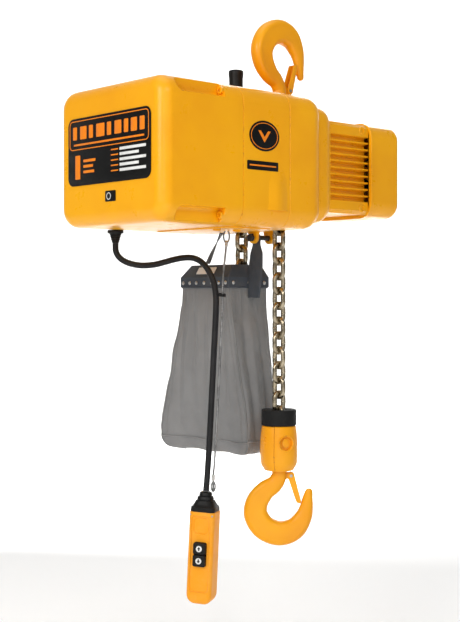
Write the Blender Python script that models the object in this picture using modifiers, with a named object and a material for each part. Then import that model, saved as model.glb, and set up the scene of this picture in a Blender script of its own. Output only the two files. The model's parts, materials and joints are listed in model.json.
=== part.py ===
"""Electric chain hoist hung from its top hook, with a chain bag and a push-button pendant.

Metres, +Z up. The origin is the saddle of the top hook, where the hoist hangs. X runs along the
motor towards the fan, and -Y is the long side with the oval mark. Both hooks and the load strand
are on the Z axis.
"""
import math

import bmesh
import bpy
from mathutils import Matrix, Vector

# ---------------------------------------------------------------- driving sizes
GAP = 0.0003                 # clearance between touching pieces

# housing, along X
COVER_X = -0.295             # closed end of the control cover
MID_X = -0.146               # seam between the cover and the mid case
CASE_X = -0.052              # seam between the mid case and the right case
FLANGE_X = 0.026             # end of the right case
MOTOR_X = 0.080              # end of the flange housing
FAN_X = 0.176                # rim of the fan cover
END_X = 0.254                # closed end of the fan cover

CASE_Y = (-0.077, 0.172)     # near and far side of the three case shells
CASE_Z = (-0.291, -0.088)    # underside and top of the three case shells
CASE_WALL = 0.005
CASE_ROUND = 0.028
FLANGE_HALF = (0.089, 0.092)     # half width and half height of the flange housing
MOTOR_HALF = (0.072, 0.073)      # the same for the motor frame, over its fins
FAN_HALF = (0.077, 0.077)        # the same for the fan cover
MOTOR_WALL = 0.004
FIN_COUNT = 11
FIN_DEPTH = 0.009
FIN_THICK = 0.003

# drive, all on one axis along X
DRIVE_Y = 0.043              # the sheave's pitch radius, so the load strand is at Y = 0
DRIVE_Z = -0.186
SHEAVE_HALF = 0.017
SHEAVE_RIM = 0.050
SHEAVE_SHAFT = 0.014
ROTOR_SHAFT = 0.0065
FINE_MODULE = 0.0015         # motor pinion and intermediate gear
PINION_TEETH = 12
WHEEL_TEETH = 60
SLOW_PINION_TEETH = 14
LOAD_TEETH = 64
GEAR_WIDTH = 0.012
BEARING_OUT = 0.024

# chain
WIRE = 0.0077
PITCH = 0.0231
LINK_WIDTH = 0.0262
BEARING_BITE = 0.0004        # how far each link's end is worn in, which joins it to the next
LOAD_LINKS = 18
SLACK_LINKS = 12
WRAP_LINKS = 5
CHAIN_HOLE = 0.034           # square hole for a strand
BLOCK_LINK_Z = -0.604        # centre of the last link, in the load block

# hooks, as (towards the tip, from the saddle towards the neck, half thickness)
HOOK_PATH = (
    (0.0, 0.0785, 0.0110), (0.0, 0.070, 0.0120), (-0.007, 0.058, 0.0135),
    (-0.022, 0.047, 0.0155), (-0.034, 0.030, 0.0175), (-0.036, 0.010, 0.0188),
    (-0.023, -0.010, 0.0192), (0.001, -0.019, 0.0190), (0.024, -0.012, 0.0172),
    (0.038, 0.006, 0.0136), (0.043, 0.022, 0.0105), (0.045, 0.036, 0.0080),
    (0.047, 0.046, 0.0060),
)
HOOK_FLATTEN = 0.68          # thickness across the hook's plane over thickness in it
SHANK_RADIUS = 0.0085
LATCH_PIVOT = (0.019, 0.0715)
LATCH_END = (0.030, 0.026)
LATCH_HALF = 0.0065
LATCH_PIN = 0.0022
LUG_RADIUS = 0.0049
LUG_HALF = 0.0040
TOP_SHANK_END = 0.106        # end of the top hook's shank, from its saddle
NUT_SEAT = 0.0975            # face that the hook nut bears on, from the saddle
NUT_RADIUS = 0.0112
NUT_HEIGHT = 0.0075
HOOK_TURN = math.radians(-42)    # the bottom hook's plane, turned about Z at rest

# load block
BUMPER_TOP = -0.569
BUMPER_HEIGHT = 0.025
BUMPER_RADIUS = 0.0272
BLOCK_BOTTOM = -0.664
BLOCK_TURN = math.radians(31)    # plane in which the block's halves meet
BOTTOM_SADDLE = -0.744
CHAIN_PIN = 0.0034
PIN_DROP = 0.0069            # the chain pin's axis below the middle of the last link

# bag
BAG_TOP_Z = -0.342
BAG_RIM_Z = -0.378
BAG_BOTTOM_Z = -0.641
BAG_X = (-0.050, 0.038)
BAG_Y = (0.062, 0.180)
BAG_SHOULDER = 0.013
BAG_SHEET = 0.0016
BAG_CLOTH = 0.0015
BAG_FOOT = ((-0.025, 0.040), (0.046, 0.044), (0.034, 0.232), (-0.062, 0.224))

# suspension of the bag
LUG_PIN_Z = -0.300
LUG_PIN = 0.0040
LUG_EYE = 0.0095
LUG_X = (-0.0165, 0.0180)
LUG_THICK = 0.006
LUG_ROOT = (0.002, 0.0135)   # how far each lug runs up into the case's wall
ARM_X = -0.0075

# pendant and cords
PENDANT = (-0.116, 0.040, -0.690)    # where the cable enters the pendant
PENDANT_LEAN = math.radians(2.6)
PENDANT_LENGTH = 0.170
PENDANT_HALF = (0.0200, 0.0190)
BUTTON_HALF = 0.0082
BUTTON_DEPTH = (0.0840, 0.1025)       # centres of the buttons below the cable's entry
CABLE_RADIUS = 0.0048
WIRE_RADIUS = 0.0016
CABLE_ROUTE = (
    (-0.2070, 0.1470, -0.3113), (-0.2070, 0.1470, -0.3213), (-0.2052, 0.1450, -0.3290),
    (-0.2010, 0.1400, -0.3360), (-0.1940, 0.1340, -0.3410), (-0.1850, 0.1262, -0.3443),
    (-0.1744, 0.1180, -0.3455),
    (-0.1600, 0.1090, -0.3439), (-0.1475, 0.1000, -0.3400), (-0.1349, 0.0910, -0.3358),
    (-0.1224, 0.0820, -0.3332), (-0.1118, 0.0730, -0.3340), (-0.1033, 0.0640, -0.3406),
    (-0.0975, 0.0550, -0.3538), (-0.0942, 0.0475, -0.3708), (-0.0940, 0.0425, -0.3893),
    (-0.0955, 0.0400, -0.4077), (-0.0976, 0.0400, -0.4444), (-0.1007, 0.0400, -0.4903),
    (-0.1037, 0.0400, -0.5360), (-0.1068, 0.0400, -0.5816), (-0.1100, 0.0400, -0.6272),
    (-0.1132, 0.0400, -0.6650), (-0.1158, 0.0400, -0.6892),
)
STRAIN_ROUTE = (
    (-0.0810, 0.0320, -0.2914), (-0.0815, 0.0320, -0.3120),
    (-0.0835, 0.0322, -0.3300), (-0.0862, 0.0325, -0.3500),
    (-0.0880, 0.0325, -0.3700), (-0.0890, 0.0322, -0.3900), (-0.0900, 0.0320, -0.4100),
    (-0.0915, 0.0320, -0.4444), (-0.0946, 0.0320, -0.4903), (-0.0976, 0.0320, -0.5360),
    (-0.1007, 0.0320, -0.5816), (-0.1035, 0.0320, -0.6200), (-0.1060, 0.0322, -0.6500),
    (-0.1075, 0.0325, -0.6650), (-0.1080, 0.0322, -0.6890),
)

AXIS_TURN = {
    "X": Matrix.Rotation(math.radians(90), 4, "Y"),
    "Y": Matrix.Rotation(math.radians(-90), 4, "X"),
    "Z": Matrix.Identity(4),
}

for old in list(bpy.data.objects):
    bpy.data.objects.remove(old)

parts = bpy.data.collections.new("chain_hoist")
cutters = bpy.data.collections.new("cutters")
for collection in (parts, cutters):
    bpy.context.scene.collection.children.link(collection)


# ---------------------------------------------------------------- materials
def material(name, color, roughness, metallic=0.0):
    made = bpy.data.materials.new(name)
    made.use_nodes = True
    shader = made.node_tree.nodes["Principled BSDF"]
    shader.inputs["Base Color"].default_value = (*color, 1.0)
    shader.inputs["Roughness"].default_value = roughness
    shader.inputs["Metallic"].default_value = metallic
    return made


YELLOW = material("yellow_enamel", (0.93, 0.40, 0.02), 0.32)
BLACK = material("black_plastic", (0.02, 0.02, 0.022), 0.45)
RUBBER = material("black_rubber", (0.015, 0.015, 0.016), 0.7)
STEEL = material("bright_steel", (0.62, 0.60, 0.57), 0.3, 1.0)
CHAIN = material("plated_chain", (0.55, 0.47, 0.33), 0.28, 1.0)
COPPER = material("copper_winding", (0.75, 0.36, 0.18), 0.35, 1.0)
SLATE = material("slate_sheet", (0.09, 0.10, 0.12), 0.5)
CLOTH = material("grey_cloth", (0.23, 0.23, 0.23), 0.65)
DECAL = material("black_label", (0.012, 0.012, 0.012), 0.35)


# ---------------------------------------------------------------- helpers
def place(name, mesh, matrix=None, look=None):
    """One object; it is a part if it has a look, and a hidden cutter if it has none."""
    made = bpy.data.objects.new(name, mesh)
    if matrix is not None:
        made.matrix_world = matrix
    if look:
        parts.objects.link(made)
        mesh.materials.append(look)
        mesh.shade_smooth()
        mesh.set_sharp_from_angle(angle=math.radians(35))
    else:
        cutters.objects.link(made)
        made.hide_render = True
        made.display_type = "WIRE"
    return made


def mesh_from(bm, name):
    mesh = bpy.data.meshes.new(name)
    bmesh.ops.recalc_face_normals(bm, faces=bm.faces)
    bm.to_mesh(mesh)
    bm.free()
    return mesh


def box(name, low, high, look=None, bevel=0.0, segments=2, matrix=None):
    """A box between two corners, with every edge rounded by bevel."""
    low, high = Vector(low), Vector(high)
    bm = bmesh.new()
    bmesh.ops.create_cube(bm, size=1.0)
    bmesh.ops.scale(bm, vec=high - low, verts=bm.verts)
    middle = Matrix.Translation((low + high) / 2)
    made = place(name, mesh_from(bm, name), matrix @ middle if matrix else middle, look)
    if bevel:
        rounding = made.modifiers.new("rounding", "BEVEL")
        rounding.width = bevel
        rounding.segments = segments
        rounding.limit_method = "NONE"
    return made


def cylinder(name, middle, axis, radius, length, look=None, sides=24, top_radius=None, matrix=None):
    bm = bmesh.new()
    bmesh.ops.create_cone(
        bm, cap_ends=True, segments=sides, radius1=radius,
        radius2=radius if top_radius is None else top_radius, depth=length,
    )
    where = Matrix.Translation(middle) @ AXIS_TURN[axis]
    return place(name, mesh_from(bm, name), matrix @ where if matrix else where, look)


def turned(name, profile, middle, axis, look=None, steps=20):
    """A closed profile of (radius, height) points, down its outer side, turned about the axis."""
    bm = bmesh.new()
    ring = [bm.verts.new((radius, 0, height)) for radius, height in profile]
    for first, second in zip(ring, ring[1:] + ring[:1]):
        bm.edges.new((first, second))
    mesh = bpy.data.meshes.new(name)
    bm.to_mesh(mesh)
    bm.free()
    made = place(name, mesh, Matrix.Translation(middle) @ AXIS_TURN[axis], look)
    screw = made.modifiers.new("turning", "SCREW")
    screw.steps = screw.render_steps = steps
    screw.use_merge_vertices = True
    screw.merge_threshold = 0.00001
    return made


def ring(name, middle, axis, outer, inner, length, look=None, steps=20):
    half = length / 2
    profile = [(outer, half), (outer, -half), (inner, -half), (inner, half)]
    return turned(name, profile, middle, axis, look, steps)


def plate(name, outline, thickness, look=None, matrix=None):
    """A flat outline in the plane's own X and Y, extruded evenly to both sides."""
    curve = bpy.data.curves.new(name, "CURVE")
    curve.dimensions = "2D"
    curve.fill_mode = "BOTH"
    curve.extrude = thickness / 2
    spline = curve.splines.new("POLY")
    spline.points.add(len(outline) - 1)
    for point, (x, y) in zip(spline.points, outline):
        point.co = (x, y, 0, 1)
    spline.use_cyclic_u = True
    return from_curve(name, curve, look, matrix)


def from_curve(name, curve, look, matrix=None):
    """The mesh of a curve, with its loose caps welded."""
    guide = bpy.data.objects.new(name + "_curve", curve)
    bpy.context.scene.collection.objects.link(guide)
    bpy.context.view_layer.update()
    evaluated = guide.evaluated_get(bpy.context.evaluated_depsgraph_get())
    mesh = bpy.data.meshes.new_from_object(evaluated)
    bpy.data.objects.remove(guide)
    bm = bmesh.new()
    bm.from_mesh(mesh)
    bmesh.ops.remove_doubles(bm, verts=bm.verts, dist=0.00001)
    bmesh.ops.recalc_face_normals(bm, faces=bm.faces)
    bm.to_mesh(mesh)
    bm.free()
    return place(name, mesh, matrix or Matrix.Identity(4), look)


def boolean(obj, operation, *others):
    for other in others:
        step = obj.modifiers.new(other.name, "BOOLEAN")
        step.operation = operation
        step.solver = "EXACT"
        step.object = other
    return obj


def cut(obj, *others):
    return boolean(obj, "DIFFERENCE", *others)


def join(obj, *others):
    return boolean(obj, "UNION", *others)


def arc(middle, radius, start, end, count):
    """Points on an arc, in degrees."""
    turns = [math.radians(start + (end - start) * i / (count - 1)) for i in range(count)]
    return [(middle[0] + radius * math.cos(t), middle[1] + radius * math.sin(t)) for t in turns]


def smooth_route(route, spacing):
    """Evenly spaced points on the Catmull-Rom curve through a route."""
    points = [Vector(p) for p in route]
    points = [2 * points[0] - points[1], *points, 2 * points[-1] - points[-2]]
    fine = []
    for a, b, c, d in zip(points, points[1:], points[2:], points[3:]):
        for i in range(12):
            t = i / 12
            fine.append(0.5 * (2 * b + (c - a) * t + (2 * a - 5 * b + 4 * c - d) * t * t
                               + (3 * b - a - 3 * c + d) * t ** 3))
    fine.append(points[-2])
    total = sum((q - p).length for p, q in zip(fine, fine[1:]))
    count = max(2, round(total / spacing))
    out, walked, index = [fine[0]], 0.0, 0
    for step in range(1, count):
        wanted = total * step / count
        while walked + (fine[index + 1] - fine[index]).length < wanted:
            walked += (fine[index + 1] - fine[index]).length
            index += 1
        leg = fine[index + 1] - fine[index]
        out.append(fine[index] + leg * ((wanted - walked) / leg.length))
    out.append(fine[-1])
    return out


def tube(name, points, radius, look, resolution=2):
    """A round bar along points, kept as a curve with filled caps."""
    curve = bpy.data.curves.new(name, "CURVE")
    curve.dimensions = "3D"
    curve.bevel_depth = radius
    curve.bevel_resolution = resolution
    curve.use_fill_caps = True
    spline = curve.splines.new("POLY")
    spline.points.add(len(points) - 1)
    for point, where in zip(spline.points, points):
        point.co = (*where, 1)
    made = bpy.data.objects.new(name, curve)
    parts.objects.link(made)
    curve.materials.append(look)
    return made


def loft(name, rings, look, matrix=None):
    """Skin over rings of points that all have the same count, closed at both ends."""
    bm = bmesh.new()
    made = [[bm.verts.new(p) for p in points] for points in rings]
    for lower, upper in zip(made, made[1:]):
        for i in range(len(lower)):
            j = (i + 1) % len(lower)
            bm.faces.new((lower[i], lower[j], upper[j], upper[i]))
    bm.faces.new(made[0])
    bm.faces.new(made[-1])
    return place(name, mesh_from(bm, name), matrix, look)


# ---------------------------------------------------------------- housing
FACE_X = Matrix(((0, 0, 1, 0), (1, 0, 0, 0), (0, 1, 0, 0), (0, 0, 0, 1)))
CASE_MIDDLE = (sum(CASE_Y) / 2, sum(CASE_Z) / 2)
NOTCH_DEPTH = 0.016          # screw notches along the cover's long edges
NOTCH_HEIGHT = 0.023
NOTCH_X = (-0.268, -0.180)
SCREW_RADIUS = 0.003
SCREW_LENGTH = 0.050
SCREW_HEAD = 0.0052
SCREW_HEAD_HEIGHT = 0.004
SCREW_IN = (0.0095, 0.013)   # the screws' distance from the case's sides and from its top or bottom
BOSS_LENGTH = 0.022


def at_drive(x, y=0.0, z=0.0):
    return Vector((x, DRIVE_Y + y, DRIVE_Z + z))


def trim(obj, x_low, x_high):
    """Cuts obj flat outside x_low and x_high; None leaves an end as it is."""
    reach = 1.0
    if x_low is not None:
        cut(obj, box("trim_low_" + obj.name, (x_low - reach, -reach, -reach), (x_low, reach, reach)))
    if x_high is not None:
        cut(obj, box("trim_high_" + obj.name, (x_high, -reach, -reach), (x_high + reach, reach, reach)))
    return obj


def shell(name, x, y, z, wall, rounding, rounded, walled, look=YELLOW, spared=()):
    """A hollow box along X. Rounded ends keep their rounded edges, the others are cut flat, and
    walled ends are closed. The hollow leaves the spared boxes solid."""
    reach = 3 * rounding
    low = (x[0] - (0 if rounded[0] else reach), y[0], z[0])
    high = (x[1] + (0 if rounded[1] else reach), y[1], z[1])
    made = box(name, low, high, look, rounding, 4)
    trim(made, None if rounded[0] else x[0], None if rounded[1] else x[1])
    flat = [not r and w for r, w in zip(rounded, walled)]
    inner_low = x[0] + wall if walled[0] else x[0] - reach
    inner_high = x[1] - (0.0 if flat[1] else wall) + (reach if flat[1] else 0.0)
    if not walled[1]:
        inner_high = x[1] + reach
    hollow = box("hollow_" + name, (inner_low, y[0] + wall, z[0] + wall),
                 (inner_high, y[1] - wall, z[1] - wall), bevel=rounding - wall, segments=4)
    if flat[1]:
        trim(hollow, None, x[1] - wall)
    for index, (spare_low, spare_high) in enumerate(spared):
        cut(hollow, box(f"spare_{index}_{name}", spare_low, spare_high))
    return cut(made, hollow)


def mirrored(low, high, over_y, over_z):
    """A corner box repeated at the four long edges of the case."""
    boxes = []
    for flip_y in (False, True):
        for flip_z in (False, True):
            ys = sorted(2 * over_y - v if flip_y else v for v in (low[1], high[1]))
            zs = sorted(2 * over_z - v if flip_z else v for v in (low[2], high[2]))
            boxes.append(((low[0], ys[0], zs[0]), (high[0], ys[1], zs[1])))
    return boxes


def build_cases():
    outside = 0.01
    notch = mirrored((NOTCH_X[0], CASE_Y[0] - outside, CASE_Z[1] - NOTCH_HEIGHT),
                     (NOTCH_X[1], CASE_Y[0] + NOTCH_DEPTH, CASE_Z[1] + outside), *CASE_MIDDLE)
    spare = mirrored((NOTCH_X[0] - CASE_WALL, CASE_Y[0] - outside, CASE_Z[1] - NOTCH_HEIGHT - CASE_WALL),
                     (MID_X + outside, CASE_Y[0] + NOTCH_DEPTH + CASE_WALL, CASE_Z[1] + outside),
                     *CASE_MIDDLE)
    boss = mirrored((MID_X - outside, CASE_Y[0] - outside, CASE_Z[1] - NOTCH_HEIGHT),
                    (MID_X + BOSS_LENGTH, CASE_Y[0] + NOTCH_DEPTH + CASE_WALL, CASE_Z[1] + outside),
                    *CASE_MIDDLE)
    cover = shell("control_cover", (COVER_X, MID_X), CASE_Y, CASE_Z, CASE_WALL, CASE_ROUND,
                  (True, False), (True, False), spared=spare)
    middle = shell("mid_case", (MID_X + GAP, CASE_X), CASE_Y, CASE_Z, CASE_WALL, CASE_ROUND,
                   (False, False), (False, True), spared=boss)
    right = shell("right_case", (CASE_X + GAP, FLANGE_X), CASE_Y, CASE_Z, CASE_WALL, CASE_ROUND,
                  (False, True), (False, True))
    for index, (low, high) in enumerate(notch):
        cut(cover, box(f"notch_{index}", low, high))
    for index, (sign_y, sign_z) in enumerate(((-1, 1), (-1, -1), (1, 1), (1, -1)), 1):
        y = CASE_MIDDLE[0] + sign_y * ((CASE_Y[1] - CASE_Y[0]) / 2 - SCREW_IN[0])
        z = CASE_MIDDLE[1] + sign_z * ((CASE_Z[1] - CASE_Z[0]) / 2 - SCREW_IN[1])
        start_x = NOTCH_X[1] - GAP - SCREW_HEAD_HEIGHT
        middle_x = start_x + SCREW_LENGTH / 2
        hole = cylinder(f"screw_hole_{index}", (middle_x, y, z), "X", SCREW_RADIUS + GAP,
                        SCREW_LENGTH + 0.002, sides=12)
        cut(cover, hole)
        cut(middle, hole)
        screw = cylinder(f"cover_screw_{index}", (middle_x, y, z), "X", SCREW_RADIUS, SCREW_LENGTH,
                         STEEL, 12)
        head = cylinder(f"screw_head_{index}", (start_x + SCREW_HEAD_HEIGHT / 2, y, z), "X",
                        SCREW_HEAD, SCREW_HEAD_HEIGHT, sides=12)
        join(screw, head)
    bore = cylinder("bulkhead_bore", at_drive(CASE_X - CASE_WALL / 2), "X", BEARING_OUT + GAP, 0.02, sides=32)
    cut(middle, bore)
    wheel_axis = at_drive(CASE_X - CASE_WALL / 2, y=(PINION_TEETH + WHEEL_TEETH) * FINE_MODULE / 2)
    cut(middle, cylinder("wheel_bore", wheel_axis, "X", 0.006 + GAP, 0.02, sides=16))
    cut(right, cylinder("end_bore", at_drive(FLANGE_X), "X", BEARING_OUT + GAP, 0.03, sides=32))
    for index, strand_y in enumerate((0.0, 2 * DRIVE_Y)):
        half = CHAIN_HOLE / 2
        cut(right, box(f"chain_hole_{index}", (-half, strand_y - half, CASE_Z[0] - 0.01),
                       (half, strand_y + half, CASE_Z[0] + 0.03)))
    cut(right, cylinder("hook_hole", (0, 0, CASE_Z[1]), "Z", SHANK_RADIUS + 3 * GAP, 0.04, sides=24))
    eye_z = LUG_PIN_Z
    for index, (x, root) in enumerate(zip(LUG_X, LUG_ROOT)):
        outline = [(DRIVE_Y - LUG_EYE, CASE_Z[0] + root), *arc((DRIVE_Y, eye_z), LUG_EYE, 180, 360, 9),
                   (DRIVE_Y + LUG_EYE, CASE_Z[0] + root)]
        where = Matrix.Translation((x + LUG_THICK / 2, 0, 0)) @ FACE_X
        join(right, plate(f"lug_{index}", outline, LUG_THICK, matrix=where))
    cut(right, cylinder("lug_bore", (0, DRIVE_Y, eye_z), "X", LUG_PIN + GAP, 0.08, sides=16))
    pin_length = LUG_X[1] - LUG_X[0] + LUG_THICK + 0.012
    pin_middle = (LUG_X[0] + LUG_X[1] + LUG_THICK) / 2
    pin = cylinder("lug_pin", (pin_middle, DRIVE_Y, eye_z), "X", LUG_PIN, pin_length, BLACK, 16)
    head_x = pin_middle - pin_length / 2 + 0.002
    join(pin, cylinder("lug_pin_head", (head_x, DRIVE_Y, eye_z), "X", LUG_PIN + 0.0035, 0.005, sides=6))


def build_motor_housing():
    y = (DRIVE_Y - FLANGE_HALF[0], DRIVE_Y + FLANGE_HALF[0])
    z = (DRIVE_Z - FLANGE_HALF[1], DRIVE_Z + FLANGE_HALF[1])
    flange = shell("flange_housing", (FLANGE_X + GAP, MOTOR_X), y, z, CASE_WALL, CASE_ROUND,
                   (False, True), (False, True))
    cut(flange, cylinder("flange_bore", at_drive(MOTOR_X), "X", 0.016 + GAP, 0.03, sides=24))
    width, height = MOTOR_HALF
    frame = box("motor_frame", at_drive(MOTOR_X + GAP, -width, -height),
                at_drive(FAN_X - GAP, width, height), YELLOW)
    edges = frame.modifiers.new("rounding", "BEVEL")
    edges.width = 0.004
    edges.segments = 1
    cut(frame, cylinder("motor_bore", at_drive((MOTOR_X + FAN_X) / 2), "X", 0.060 + GAP, 0.2, sides=32))
    pitch = 0.0108
    for side in (-1, 1):
        for index in range(FIN_COUNT - 1):
            level = (index - (FIN_COUNT - 2) / 2) * pitch
            low, high = sorted((side * (width - FIN_DEPTH), side * (width + 0.01)))
            cut(frame, box(f"groove_{side}_{index}",
                           at_drive(MOTOR_X + 0.006, low, level - (pitch - FIN_THICK) / 2),
                           at_drive(FAN_X + 0.01, high, level + (pitch - FIN_THICK) / 2)))
    y = (DRIVE_Y - FAN_HALF[0], DRIVE_Y + FAN_HALF[0])
    z = (DRIVE_Z - FAN_HALF[1], DRIVE_Z + FAN_HALF[1])
    shell("fan_cover", (FAN_X, END_X), y, z, MOTOR_WALL, 0.024, (False, True), (False, True))


# ---------------------------------------------------------------- drive
WHEEL_Y = (PINION_TEETH + WHEEL_TEETH) * FINE_MODULE / 2
COARSE_MODULE = 2 * WHEEL_Y / (SLOW_PINION_TEETH + LOAD_TEETH)


def gear(name, x, y, teeth, module, bore, phase, width=GEAR_WIDTH):
    """A spur gear with straight-sided teeth; phase is the angle of a tooth, in degrees."""
    root = module * (teeth / 2 - 1.25)
    tip = module * (teeth / 2 + 0.9)
    pitch = math.tau / teeth
    outline = []
    for index in range(teeth):
        middle = math.radians(phase) + index * pitch
        for radius, share in ((root, -0.27), (tip, -0.125), (tip, 0.125), (root, 0.27)):
            angle = middle + share * pitch
            outline.append((radius * math.cos(angle), radius * math.sin(angle)))
    made = plate(name, outline, width, STEEL, Matrix.Translation(at_drive(x, y)) @ FACE_X)
    return cut(made, cylinder("bore_" + name, at_drive(x, y), "X", bore, 3 * width, sides=16))


def build_drive():
    slow_x, fine_x = CASE_X - 0.020, CASE_X - 0.052
    shaft_end = FLANGE_X - GAP
    shaft_start = slow_x - GEAR_WIDTH / 2 - 0.002
    groove = DRIVE_Y - LINK_WIDTH / 2 - 0.0015
    flank = 0.0140
    profile = [(SHEAVE_RIM, SHEAVE_HALF), (SHEAVE_RIM, flank), (groove, flank), (groove, -flank),
               (SHEAVE_RIM, -flank), (SHEAVE_RIM, -SHEAVE_HALF), (SHEAVE_SHAFT + GAP, -SHEAVE_HALF),
               (SHEAVE_SHAFT + GAP, SHEAVE_HALF)]
    turned("load_sheave", profile, at_drive(0), "X", STEEL, 32)
    ring("sheave_shaft", at_drive((shaft_start + shaft_end) / 2), "X", SHEAVE_SHAFT, 0.0095,
         shaft_end - shaft_start, STEEL)
    gear("load_gear", slow_x, 0, LOAD_TEETH, COARSE_MODULE, SHEAVE_SHAFT + GAP, 180 / LOAD_TEETH)
    for name, x in (("sheave_bearing_left", CASE_X - CASE_WALL / 2),
                    ("sheave_bearing_right", FLANGE_X - CASE_WALL / 2)):
        ring(name, at_drive(x), "X", BEARING_OUT, SHEAVE_SHAFT + GAP, CASE_WALL, STEEL)
    gear("intermediate_wheel", fine_x, WHEEL_Y, WHEEL_TEETH, FINE_MODULE, 0.006 + GAP, 180 / WHEEL_TEETH)
    gear("slow_pinion", slow_x, WHEEL_Y, SLOW_PINION_TEETH, COARSE_MODULE, 0.006 + GAP, 180,
         GEAR_WIDTH + 0.003)
    plate_x = fine_x - 0.018
    cylinder("intermediate_shaft", at_drive((plate_x + CASE_X) / 2, WHEEL_Y), "X", 0.006,
             CASE_X - plate_x + 0.001, STEEL, 16)
    gear("motor_pinion", fine_x, 0, PINION_TEETH, FINE_MODULE, 0.0058, 0, GEAR_WIDTH + 0.003)
    fan_x = FAN_X + 0.030
    shaft = cylinder("rotor_shaft", at_drive((plate_x + fan_x + 0.012) / 2), "X", ROTOR_SHAFT,
                     fan_x + 0.012 - plate_x, STEEL, 16)
    cut(shaft, ring("pinion_seat", at_drive((plate_x + fine_x) / 2), "X", 0.02, 0.0055,
                    fine_x - plate_x + 2 * GEAR_WIDTH, steps=16))
    ring("rotor_core", at_drive((MOTOR_X + FAN_X) / 2), "X", 0.032, ROTOR_SHAFT + GAP, 0.060, STEEL)
    ring("stator", at_drive((MOTOR_X + FAN_X) / 2), "X", 0.060, 0.0325, 0.070, COPPER, 24)
    ring("rotor_bearing", at_drive(MOTOR_X - CASE_WALL / 2), "X", 0.016, ROTOR_SHAFT + GAP,
         CASE_WALL, STEEL)
    ring("brake_disc", at_drive(FLANGE_X + 0.012), "X", 0.050, ROTOR_SHAFT + GAP, 0.006, BLACK)
    ring("brake_coil", at_drive(FLANGE_X + 0.032), "X", 0.055, 0.018, 0.024, COPPER, 24)
    fan = ring("fan", at_drive(fan_x), "X", 0.020, ROTOR_SHAFT + GAP, 0.018, BLACK)
    blades = 7
    for index in range(blades):
        turn = Matrix.Translation(at_drive(fan_x)) @ Matrix.Rotation(index * math.tau / blades, 4, "X")
        pitch = Matrix.Rotation(math.radians(28), 4, "Y")
        blade = box(f"blade_{index}", (-0.009, 0.017, -0.001), (0.009, 0.060, 0.001), matrix=turn @ pitch)
        join(fan, blade)

    wide = (CASE_Y[1] - CASE_Y[0]) / 2 - CASE_WALL - GAP
    tall = (CASE_Z[1] - CASE_Z[0]) / 2 - CASE_WALL - GAP
    round_off = CASE_ROUND - CASE_WALL
    outline = []
    for start, sx, sz in ((0, 1, 1), (90, -1, 1), (180, -1, -1), (270, 1, -1)):
        corner = (sx * (wide - round_off), sz * (tall - round_off))
        outline += arc(corner, round_off, start, start + 90, 5)
    where = Matrix.Translation((plate_x, *CASE_MIDDLE)) @ FACE_X
    chassis = plate("gear_plate", outline, 0.004, SLATE, where)
    chassis_low, chassis_high = plate_x - 0.002, plate_x + 0.002
    cut(chassis, cylinder("wheel_seat", at_drive(plate_x, WHEEL_Y), "X", 0.006 + GAP, 0.02, sides=16))
    cut(chassis, cylinder("rotor_seat", at_drive(plate_x), "X", ROTOR_SHAFT + GAP, 0.02, sides=16))
    corner_boxes = mirrored((chassis_low - 0.01, CASE_Y[0], CASE_Z[1] - NOTCH_HEIGHT - GAP),
                            (chassis_high + 0.01, CASE_Y[0] + NOTCH_DEPTH + CASE_WALL + GAP, CASE_Z[1]),
                            *CASE_MIDDLE)
    for index, (low, high) in enumerate(corner_boxes):
        cut(chassis, box(f"chassis_corner_{index}", low, high))
    face = chassis_low - GAP
    box("contactor", (face - 0.055, -0.040, -0.200), (face, 0.025, -0.125), BLACK, 0.003, 1)
    box("transformer", (face - 0.060, 0.060, -0.255), (face, 0.125, -0.195), STEEL, 0.004, 1)
    guide_z = DRIVE_Z - SHEAVE_RIM - 0.0345
    guide = box("chain_guide", (-0.020, -0.020, guide_z),
                (0.0195, 2 * DRIVE_Y + 0.020, guide_z + 0.015), STEEL)
    for index, strand_y in enumerate((0.0, 2 * DRIVE_Y)):
        half = CHAIN_HOLE / 2 - 0.001
        cut(guide, box(f"guide_hole_{index}", (-half, strand_y - half, CASE_Z[0] - 0.01),
                       (half, strand_y + half, CASE_Z[0] + 0.05)))


# ---------------------------------------------------------------- chain
def link_rings(matrix, sides=5, turns=8):
    """Rings of points round the wire of one oval link."""
    bend = (LINK_WIDTH - WIRE) / 2
    straight = PITCH / 2 + WIRE / 2 - BEARING_BITE - bend
    rings = []
    for index in range(turns):
        angle = math.tau * (index + 0.5) / turns
        shift = straight if math.sin(angle) > 0 else -straight
        middle = Vector((bend * math.cos(angle), 0, bend * math.sin(angle) + shift))
        outward = Vector((math.cos(angle), 0, math.sin(angle)))
        points = []
        for side in range(sides):
            turn = math.pi + math.tau * side / sides
            offset = outward * math.cos(turn) + Vector((0, 1, 0)) * math.sin(turn)
            points.append(matrix @ (middle + offset * WIRE / 2))
        rings.append(points)
    return rings


def link_mesh(name, matrices):
    bm = bmesh.new()
    for matrix in matrices:
        rings = [[bm.verts.new(p) for p in points] for points in link_rings(matrix)]
        for first, second in zip(rings, rings[1:] + rings[:1]):
            for i in range(len(first)):
                j = (i + 1) % len(first)
                bm.faces.new((first[i], first[j], second[j], second[i]))
    return mesh_from(bm, name)


def chain(name, matrices):
    """A run of links, each joined to the next where they bear."""
    made = place(name, link_mesh(name, matrices[::2]), None, CHAIN)
    return join(made, place("odd_" + name, link_mesh("odd_" + name, matrices[1::2])))


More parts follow.
